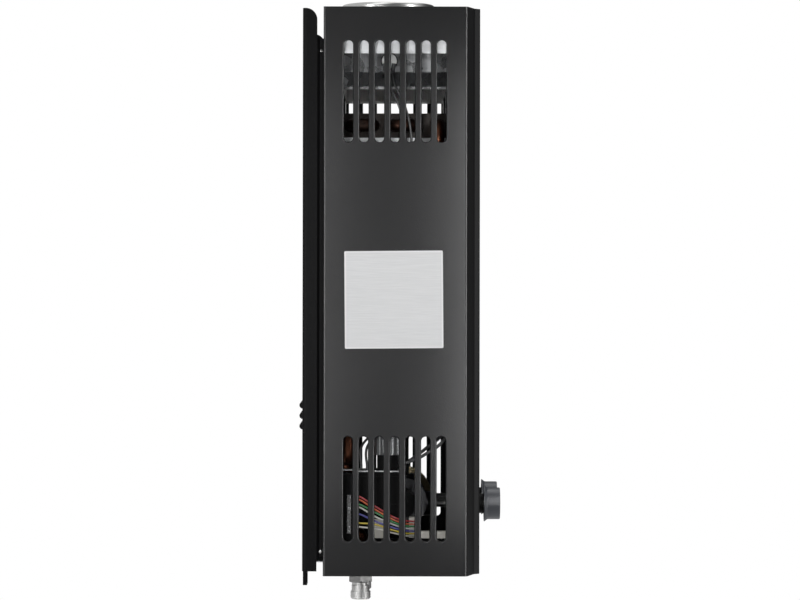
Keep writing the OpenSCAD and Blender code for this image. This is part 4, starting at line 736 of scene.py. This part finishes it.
def sweep(tree, path, outline):
    """A capped tube of one outline along a path."""
    tube = fill(add(tree, "GeometryNodeCurveToMesh"), Fill_Caps=True)
    tree.links.new(path, tube.inputs["Curve"])
    tree.links.new(outline, tube.inputs["Profile Curve"])
    return tube.outputs[0]


def on_points(tree, points, shape):
    """The node that sets a shape on every point."""
    each = add(tree, "GeometryNodeInstanceOnPoints")
    tree.links.new(points, each.inputs["Points"])
    tree.links.new(shape, each.inputs["Instance"])
    return each


def end_tree(tree, given, geometry, out):
    """Realize Instances and Set Material, which close every tree."""
    real = add(tree, "GeometryNodeRealizeInstances")
    tree.links.new(geometry, real.inputs[0])
    dressed = add(tree, "GeometryNodeSetMaterial")
    tree.links.new(real.outputs[0], dressed.inputs["Geometry"])
    tree.links.new(given["Material"], dressed.inputs["Material"])
    tree.links.new(dressed.outputs[0], out)


def grow(name, start, tree, **values):
    """Runs a tree on a starting mesh and keeps the result as a plain mesh object."""
    object_ = bpy.data.objects.new(name, start)
    scene.collection.objects.link(object_)
    modifier = object_.modifiers.new(tree.name, "NODES")
    modifier.node_group = tree
    for socket in tree.interface.items_tree:
        if socket.in_out == "INPUT" and socket.name in values:
            modifier[socket.identifier] = values[socket.name]
    result = object_.evaluated_get(bpy.context.evaluated_depsgraph_get())
    mesh = bpy.data.meshes.new_from_object(result)
    object_.modifiers.remove(modifier)
    object_.data = mesh
    mesh.name = name
    return object_


def make_wire_tree():
    """Round sleeves along the edges of the starting mesh."""
    tree, given, out = geometry_tree("sleeves", Diameter="Float", Sides="Int")
    path = add(tree, "GeometryNodeMeshToCurve")
    tree.links.new(given["Geometry"], path.inputs["Mesh"])
    ring = add(tree, "GeometryNodeCurvePrimitiveCircle")
    tree.links.new(given["Sides"], ring.inputs["Resolution"])
    tree.links.new(math_node(tree, "DIVIDE", given["Diameter"], 2.0), ring.inputs["Radius"])
    smooth = add(tree, "GeometryNodeSetShadeSmooth")
    tree.links.new(sweep(tree, path.outputs[0], ring.outputs["Curve"]), smooth.inputs["Geometry"])
    end_tree(tree, given, smooth.outputs[0], out)
    return tree


# Points to a turn of the thread's spiral, and sides of its crest
TURN_POINTS = 48
CREST_SIDES = 6


def make_thread_tree():
    """One spiral crest of a pipe thread on each point of the starting mesh."""
    tree, given, out = geometry_tree(
        "thread_crests", Radius="Float", Length="Float", Pitch="Float", Crest="Float")
    spiral = fill(add(tree, "GeometryNodeCurveSpiral"), Resolution=TURN_POINTS)
    tree.links.new(math_node(tree, "DIVIDE", given["Length"], given["Pitch"]), spiral.inputs["Rotations"])
    for end in ("Start Radius", "End Radius"):
        tree.links.new(given["Radius"], spiral.inputs[end])
    tree.links.new(given["Length"], spiral.inputs["Height"])
    ridge = fill(add(tree, "GeometryNodeCurvePrimitiveCircle"), Resolution=CREST_SIDES)
    tree.links.new(given["Crest"], ridge.inputs["Radius"])
    crest = sweep(tree, spiral.outputs[0], ridge.outputs["Curve"])
    end_tree(tree, given, on_points(tree, given["Geometry"], crest).outputs[0], out)
    return tree


FASTENER_TURN = "screw_turn"


def make_fastener_tree():
    """One screw or nut on each point of the starting mesh, turned by the point's own angles."""
    tree, given, out = geometry_tree("fasteners", Fastener="Object")
    fastener = add(tree, "GeometryNodeObjectInfo")
    tree.links.new(given["Fastener"], fastener.inputs["Object"])
    turn = add(tree, "GeometryNodeInputNamedAttribute", data_type="FLOAT_VECTOR")
    turn.inputs["Name"].default_value = FASTENER_TURN
    angles = add(tree, "FunctionNodeEulerToRotation")
    tree.links.new(turn.outputs[0], angles.inputs[0])
    each = on_points(tree, given["Geometry"], fastener.outputs["Geometry"])
    tree.links.new(angles.outputs[0], each.inputs["Rotation"])
    end_tree(tree, given, each.outputs[0], out)
    return tree


WIRE_TREE = make_wire_tree()
THREAD_TREE = make_thread_tree()
FASTENER_TREE = make_fastener_tree()


def keep(piece, slot, *stands_for):
    """A finished piece rides on the case and may stand for nodes of the model, which it hides; slot is not
    used.
    """
    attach(piece, "chassis")
    if stands_for:
        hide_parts(*stands_for)


def shape_object(name, shape):
    """An object from a finished bmesh, with its faces turned outwards."""
    bmesh.ops.recalc_face_normals(shape, faces=shape.faces)
    mesh = bpy.data.meshes.new(name)
    shape.to_mesh(mesh)
    shape.free()
    return bpy.data.objects.new(name, mesh)


def corners_of(geometry):
    """The corner points in what a bmesh operator gives back."""
    return [part for part in geometry if isinstance(part, bmesh.types.BMVert)]


def point_mesh(name, points):
    mesh = bpy.data.meshes.new(name)
    mesh.from_pydata(points, [], [])
    return mesh


def fasten(name, fastener, points, turns, material, slot):
    """Sets one fastener on every point, turned by its angles, and lets the loose one go."""
    start = point_mesh(name + "_places", points)
    layer = start.attributes.new(FASTENER_TURN, "FLOAT_VECTOR", "POINT")
    for item, turn in zip(layer.data, turns):
        item.vector = turn
    keep(grow(name, start, FASTENER_TREE, Fastener=fastener, Material=material), slot)
    bpy.data.objects.remove(fastener)


# Wiring, along the routes of the model's own wires

def from_hex(code):
    """A screen colour such as #b3262e, as linear light."""
    parts = [int(code[i:i + 2], 16) / 255 for i in (1, 3, 5)]
    return rgba([part / 12.92 if part < 0.04045 else ((part + 0.055) / 1.055) ** 2.4 for part in parts])


def between(a, b, c, d, t):
    """The point at t on the way from b to c, on the smooth curve through four points."""
    return 0.5 * (
        2 * b + (c - a) * t + (2 * a - 5 * b + 4 * c - d) * t ** 2 + (3 * b - a - 3 * c + d) * t ** 3)


ROUTE_STEPS = 12


def smooth_route(points):
    """The smooth curve through a wire's points."""
    p = [place(*point) for point in points]
    last = len(p) - 1
    route = [
        between(p[max(i - 1, 0)], p[i], p[i + 1], p[min(i + 2, last)], step / ROUTE_STEPS)
        for i in range(last) for step in range(ROUTE_STEPS)
    ]
    return route + [p[last]]


def first_part(route, length):
    """The points of a route up to a length from its start."""
    kept = [route[0]]
    run = 0
    for point in route[1:]:
        run += (point - kept[-1]).length
        kept.append(point)
        if run >= length:
            break
    return kept


def route_mesh(name, routes, colours):
    """A mesh of edges along the routes, each in its wire's colour."""
    points = []
    edges = []
    paints = []
    for route, colour in zip(routes, colours):
        start = len(points)
        points += route
        edges += [(start + i, start + i + 1) for i in range(len(route) - 1)]
        paints += [colour] * len(route)
    mesh = bpy.data.meshes.new(name)
    mesh.from_pydata(points, edges, [])
    layer = mesh.attributes.new(SLEEVE_COLOUR, "FLOAT_COLOR", "POINT")
    for item, colour in zip(layer.data, paints):
        item.color = colour
    return mesh


HARNESS_COLOURS = ("#b3262e", "#d8622a", "#2f8a4a", "#e8e6df", "#4a4aa0", "#d9c22e", "#cfcdc6")
BLACK = from_hex("#1c1c1e")
GREY = from_hex("#3a3b3d")
CHARCOAL = from_hex("#2a2b2d")
BOOT_RED = from_hex("#4a1512")
HARNESS_D = 1.8
LEAD_D = 2.6
IGNITION_LEAD_D = 3.4
SLEEVE_SIDES = 14
BOOT_D = 4.4
BOOT_LEN = 9
BOOT_SIDES = 18

HARNESS_X = -158.5
# For each wire: how far it swings in from the panel, and its heights on the way to the plug
HARNESS_RUNS = [
    (0, 81, 70.8, 60.8, 55.6), (1.2, 77.6, 67.4, 58, 52.6), (0.2, 73, 64.6, 55.4, 50.2),
    (1.6, 69.8, 60.2, 52.9, 47.8), (0, 63, 55.6, 49.6, 45.2), (1, 54, 52.4, 46.9, 42.6),
    (0.4, 50, 48, 44, 40),
]


def harness_route(swing, first, second, third, last):
    """From the control box along the panel to the plug block."""
    x = HARNESS_X + swing
    return [
        (-152, -55, first + 0.5), (-155.5, -56.5, first + 0.4), (x, -61, first), (x, -77, second),
        (x, -94, third), (x + 3, -106, last + 1), (-147, -114.5, last - 0.3), (-140, -116, last - 0.8),
    ]


def thermostat_route(side):
    """From one of the thermostat's two tabs down to the control box."""
    return [
        (-132, -89.5 + 5 * side, 533.5), (-134, -89.5 + 4 * side, 522.5), (-156, -94.5 + 3 * side, 505),
        (-161, -103.5 + 3 * side, 485), (-161, -109.5 + 3 * side, 456), (-161, -109.5 + 3 * side, 400),
        (-160, -103 + 3 * side, 250), (-156, -80 + 3 * side, 160.2), (-143, -64 + 3 * side, 132.2),
        (-142, -64 + 3 * side, 113.2), (-142, -64 + 3 * side, 108.2),
    ]


def lead_start(x):
    """Straight out of the electrode's pin, then a bend to the left."""
    return [(x, -174.5, 271.8), (x - 1, -178, 270.9), (x - 6, -180, 266.8), (x - 20, -178, 260.8)]


IGNITER_ROUTE = lead_start(-25) + [
    (-100, -176.5, 249.8), (-128, -173.5, 234), (-142, -163.5, 180.2), (-152, -148.5, 142.2),
    (-150, -126, 124.2), (-146, -109, 116.7), (-146, -104, 116.2), (-146, -99, 116.2),
]
SENSOR_ROUTE = lead_start(25) + [
    (-59, -176.5, 243.8), (-112, -175.5, 233), (-132, -167.5, 196.2), (-132, -149.5, 150.2),
    (-136, -128, 130.2), (-138, -110, 117.2), (-138, -104, 116.2), (-138, -99, 116.2),
]


def sleeves(name, routes, colours, diameter, sides):
    """Sleeves in their colours along the routes, as one piece."""
    start = route_mesh(name + "_routes", routes, colours)
    finish = FINISHES["wire_sleeve"]
    return grow(name, start, WIRE_TREE, Diameter=diameter * MM, Sides=sides, Material=finish)


def make_wiring():
    harness = [smooth_route(harness_route(*run)) for run in HARNESS_RUNS]
    thermostat = [smooth_route(thermostat_route(side)) for side in (-1, 1)]
    igniter = [smooth_route(IGNITER_ROUTE)]
    sensor = [smooth_route(SENSOR_ROUTE)]
    for node, routes, colours, diameter in (
        ("harness", harness, [from_hex(code) for code in HARNESS_COLOURS], HARNESS_D),
        ("thermostat_leads", thermostat, [BLACK, BLACK], LEAD_D),
        ("igniter_lead", igniter, [GREY], IGNITION_LEAD_D),
        ("sensor_lead", sensor, [CHARCOAL], IGNITION_LEAD_D),
    ):
        keep(sleeves(node + "_sleeves", routes, colours, diameter, SLEEVE_SIDES), "wire_sleeve", node)
    ends = [first_part(route, BOOT_LEN * MM) for route in thermostat + igniter + sensor]
    boots = sleeves("lead_boots", ends, [BLACK, BLACK, BOOT_RED, BOOT_RED], BOOT_D, BOOT_SIDES)
    keep(boots, "wire_sleeve")


make_wiring()


# Pipe threads on the three connections

PORTS = {"hot": (-100, -60), "gas": (0, -60), "cold": (100, -60)}
THREAD_LOW = -28.8
THREAD_LEN = 6.0
THREAD_PITCH = 1.814
THREAD_R = 10.3
THREAD_CREST = 0.45


def make_threads(name, ports, slot, finish):
    start = point_mesh(name + "_places", [place(*PORTS[port], THREAD_LOW) for port in ports])
    threads = grow(
        name, start, THREAD_TREE, Radius=THREAD_R * MM, Length=THREAD_LEN * MM, Pitch=THREAD_PITCH * MM,
        Crest=THREAD_CREST * MM, Material=finish)
    keep(threads, slot)


make_threads("water_threads", ("hot", "cold"), "stainless", PLATED)
make_threads("gas_thread", ("gas",), "brass", PLATED)


# Lock nuts that clamp the connections to the bottom plate

NUT_ACROSS = 24
NUT_H = 13.6
NUT_BORE = 14.6
NUT_FLANGE_D = 30
NUT_FLANGE_H = 1.6
NUT_FACETS = 72
# The cone at the lower rim: how fast it widens upwards, its width there as a share of the flats, and the
# heights above the rim at which it has a ring of points
NUT_CONE = 1.73
NUT_RIM = 0.97
CONE_RINGS = (1.6, 1.2, 0.8, 0.4, 0)
# Each nut stopped at its own angle, this many degrees on from the one before
NUT_TURN = 7
PLATE_UNDER = 1


def lock_nut(name):
    """A six-sided nut under a round flange, hanging below Z = 0, with its lower rim turned to a cone."""
    levels = [NUT_FLANGE_H] + [NUT_H - height for height in CONE_RINGS]
    rings = [(NUT_BORE / 2, 0), (NUT_FLANGE_D / 2, 0), (NUT_FLANGE_D / 2, NUT_FLANGE_H)]
    rings += [(None, level) for level in levels] + [(NUT_BORE / 2, NUT_H)]
    shape = bmesh.new()
    rows = []
    for radius, level in rings:
        row = []
        for i in range(NUT_FACETS):
            angle = 2 * math.pi * i / NUT_FACETS
            flat = NUT_ACROSS / 2 / math.cos((angle + math.pi / 6) % (math.pi / 3) - math.pi / 6)
            turned = NUT_ACROSS / 2 * NUT_RIM + (NUT_H - level) * NUT_CONE
            r = radius or min(flat, turned)
            row.append(shape.verts.new((r * math.sin(angle) * MM, r * math.cos(angle) * MM, -level * MM)))
        rows.append(row)
    for upper, lower in zip(rows, rows[1:] + rows[:1]):
        for i in range(NUT_FACETS):
            j = (i + 1) % NUT_FACETS
            shape.faces.new((upper[i], upper[j], lower[j], lower[i]))
    return shape_object(name, shape)


def make_lock_nuts():
    points = [place(*port, PLATE_UNDER) for port in PORTS.values()]
    turns = [(0, 0, math.radians(NUT_TURN * i)) for i in range(len(points))]
    dull = drawn_metal(
        "passivated_steel", (0.13, 0.13, 0.128), (0.072, 0.072, 0.07), 0.44, (0.34, 0.48), DEEP)
    fasten("lock_nuts", lock_nut("lock_nut"), points, turns, dull, "stainless")


make_lock_nuts()


# Small screws that hold the back plate's tongues

HEAD_R = 1.7
HEAD_H = 1.0
# The dome: its height at the rim as a share of the whole, and how round it is
HEAD_RIM = 0.35
HEAD_ROUND = 0.92
# The cross recess, as shares of the head's radius, and its depth
RECESS_HALF = 0.2
RECESS_REACH = 0.6
RECESS_DEEP = 0.45
# Lines of the head's grid, from its middle to its rim
HEAD_LINES = (RECESS_HALF, 0.4, RECESS_REACH, 0.8, 1)
TONGUE_X = 165
SCREW_Y = -18.9
SCREW_HEIGHTS = (25, 544.5)
# Where the first cross stopped and how much further each next one did, in degrees
TONGUE_TURN = 17
TONGUE_NEXT = 31


def pan_head(name):
    """A domed head with a cross recess, standing on Z = 0."""
    steps = [-line for line in reversed(HEAD_LINES)] + [0, *HEAD_LINES]
    shape = bmesh.new()
    rows = []
    for v in steps:
        row = []
        for u in steps:
            x = u * math.sqrt(1 - v * v / 2)
            y = v * math.sqrt(1 - u * u / 2)
            dome = math.sqrt(max(0, 1 - HEAD_ROUND * (x * x + y * y)))
            height = HEAD_H * (HEAD_RIM + (1 - HEAD_RIM) * dome)
            along_u = abs(v) < RECESS_HALF and abs(u) < RECESS_REACH
            along_v = abs(u) < RECESS_HALF and abs(v) < RECESS_REACH
            if along_u or along_v:
                height -= RECESS_DEEP
            row.append(shape.verts.new((x * HEAD_R * MM, y * HEAD_R * MM, height * MM)))
        rows.append(row)
    for low, high in zip(rows, rows[1:]):
        for i in range(len(steps) - 1):
            shape.faces.new((low[i], low[i + 1], high[i + 1], high[i]))
    rim = [edge for edge in shape.edges if edge.is_boundary]
    skirt = bmesh.ops.extrude_edge_only(shape, edges=rim)["geom"]
    for vert in corners_of(skirt):
        vert.co.z = 0
    bmesh.ops.contextual_create(shape, geom=[edge for edge in shape.edges if edge.is_boundary])
    return shape_object(name, shape)


def make_screws():
    places = [(side, height) for side in (-1, 1) for height in SCREW_HEIGHTS]
    points = [place(side * TONGUE_X, SCREW_Y, height) for side, height in places]
    turns = [
        (math.radians(TONGUE_TURN + TONGUE_NEXT * i), side * math.pi / 2, 0)
        for i, (side, _) in enumerate(places)
    ]
    fasten("tongue_screws", pan_head("tongue_screw"), points, turns, FINISHES["stainless"], "stainless")


make_screws()


# Terminal strip on the near face of the control box

STRIP_FACE = -152
STRIP_Y = -48.4
STRIP_LOW = 43
STRIP_SIZE = (2.2, 3.8, 40)
STRIP_RIBS = 11
RIB_SIZE = (3.2, 4.4, 0.7)
# How far the screw heads are let into the bar
HEAD_SUNK = 0.1
# Where the first cross stopped and how much further each next one did, in degrees
TERMINAL_TURN = 40
TERMINAL_NEXT = 53


def make_strip_tree():
    """A bar along Z with thin barriers across it, centred on each starting point."""
    tree, given, out = geometry_tree("barrier_strip", Bar="Vector", Rib="Vector", Ribs="Int", Step="Float")
    bar = add(tree, "GeometryNodeMeshCube")
    tree.links.new(given["Bar"], bar.inputs["Size"])
    rib = add(tree, "GeometryNodeMeshCube")
    tree.links.new(given["Rib"], rib.inputs["Size"])
    step = add(tree, "ShaderNodeCombineXYZ")
    tree.links.new(given["Step"], step.inputs["Z"])
    length = math_node(tree, "MULTIPLY", math_node(tree, "SUBTRACT", given["Ribs"], 1.0), given["Step"])
    low = add(tree, "ShaderNodeCombineXYZ")
    tree.links.new(math_node(tree, "MULTIPLY", length, -0.5), low.inputs["Z"])
    line = add(tree, "GeometryNodeMeshLine")
    tree.links.new(given["Ribs"], line.inputs["Count"])
    tree.links.new(low.outputs[0], line.inputs["Start Location"])
    tree.links.new(step.outputs[0], line.inputs["Offset"])
    row = on_points(tree, line.outputs[0], rib.outputs["Mesh"])
    strip = add(tree, "GeometryNodeJoinGeometry")
    tree.links.new(bar.outputs["Mesh"], strip.inputs[0])
    tree.links.new(row.outputs[0], strip.inputs[0])
    end_tree(tree, given, on_points(tree, given["Geometry"], strip.outputs[0]).outputs[0], out)
    return tree


def make_terminals():
    thick, _, tall = STRIP_SIZE
    step = (tall - RIB_SIZE[2]) / (STRIP_RIBS - 1)
    start = point_mesh("terminal_strip_place", [place(STRIP_FACE - thick / 2, STRIP_Y, STRIP_LOW + tall / 2)])
    grey = moulded("terminal_moulding", (0.16, 0.16, 0.16), (0.25, 0.25, 0.25), 0.48, 1300.0, MOULD_RELIEF)
    strip = grow(
        "terminal_strip", start, make_strip_tree(), Bar=[side * MM for side in STRIP_SIZE],
        Rib=[side * MM for side in RIB_SIZE], Ribs=STRIP_RIBS, Step=step * MM, Material=grey)
    keep(strip, "pale_plastic")
    points = [
        place(STRIP_FACE - thick + HEAD_SUNK, STRIP_Y, STRIP_LOW + RIB_SIZE[2] / 2 + (i + 0.5) * step)
        for i in range(STRIP_RIBS - 1)
    ]
    turns = [(math.radians(TERMINAL_TURN + TERMINAL_NEXT * i), -math.pi / 2, 0) for i in range(len(points))]
    screw = pan_head("terminal_screw")
    fasten("terminal_screws", screw, points, turns, FINISHES["zinc_sheet"], "zinc_sheet")


make_terminals()


# Blank label plate on the left side

LABEL_MIDDLE = (-94.7, 286.5)
LABEL_SIZE = (102, 101)
LABEL_T = 0.3
LABEL_CORNER = 1.2
CORNER_STEPS = 5
LABEL_TILT = math.radians(-0.5)
CASE_HALF = 170


def make_label():
    """A thin plate with rounded corners, a little tilted, on the left panel."""
    half = [size * MM / 2 for size in LABEL_SIZE]
    middle = place(-CASE_HALF, *LABEL_MIDDLE)
    radius = LABEL_CORNER * MM
    shape = bmesh.new()
    outline = []
    for corner, (side_y, side_z) in enumerate(((1, 1), (-1, 1), (-1, -1), (1, -1))):
        for step in range(CORNER_STEPS + 1):
            angle = corner * math.pi / 2 + step / CORNER_STEPS * math.pi / 2
            y = side_y * (half[0] - radius) + radius * math.cos(angle)
            z = side_z * (half[1] - radius) + radius * math.sin(angle)
            outline.append(shape.verts.new((0, y, z)))
    plate = shape.faces.new(outline)
    raised = bmesh.ops.extrude_face_region(shape, geom=[plate])["geom"]
    bmesh.ops.translate(shape, verts=corners_of(raised), vec=(-LABEL_T * MM, 0, 0))
    tilted = Matrix.Translation(middle) @ Matrix.Rotation(LABEL_TILT, 4, "X")
    bmesh.ops.transform(shape, matrix=tilted, verts=shape.verts)
    label = shape_object("label_plate", shape)
    scene.collection.objects.link(label)
    dress(label, label_film("label_film", middle, half, LABEL_TILT))
    keep(label, "stainless")


make_label()
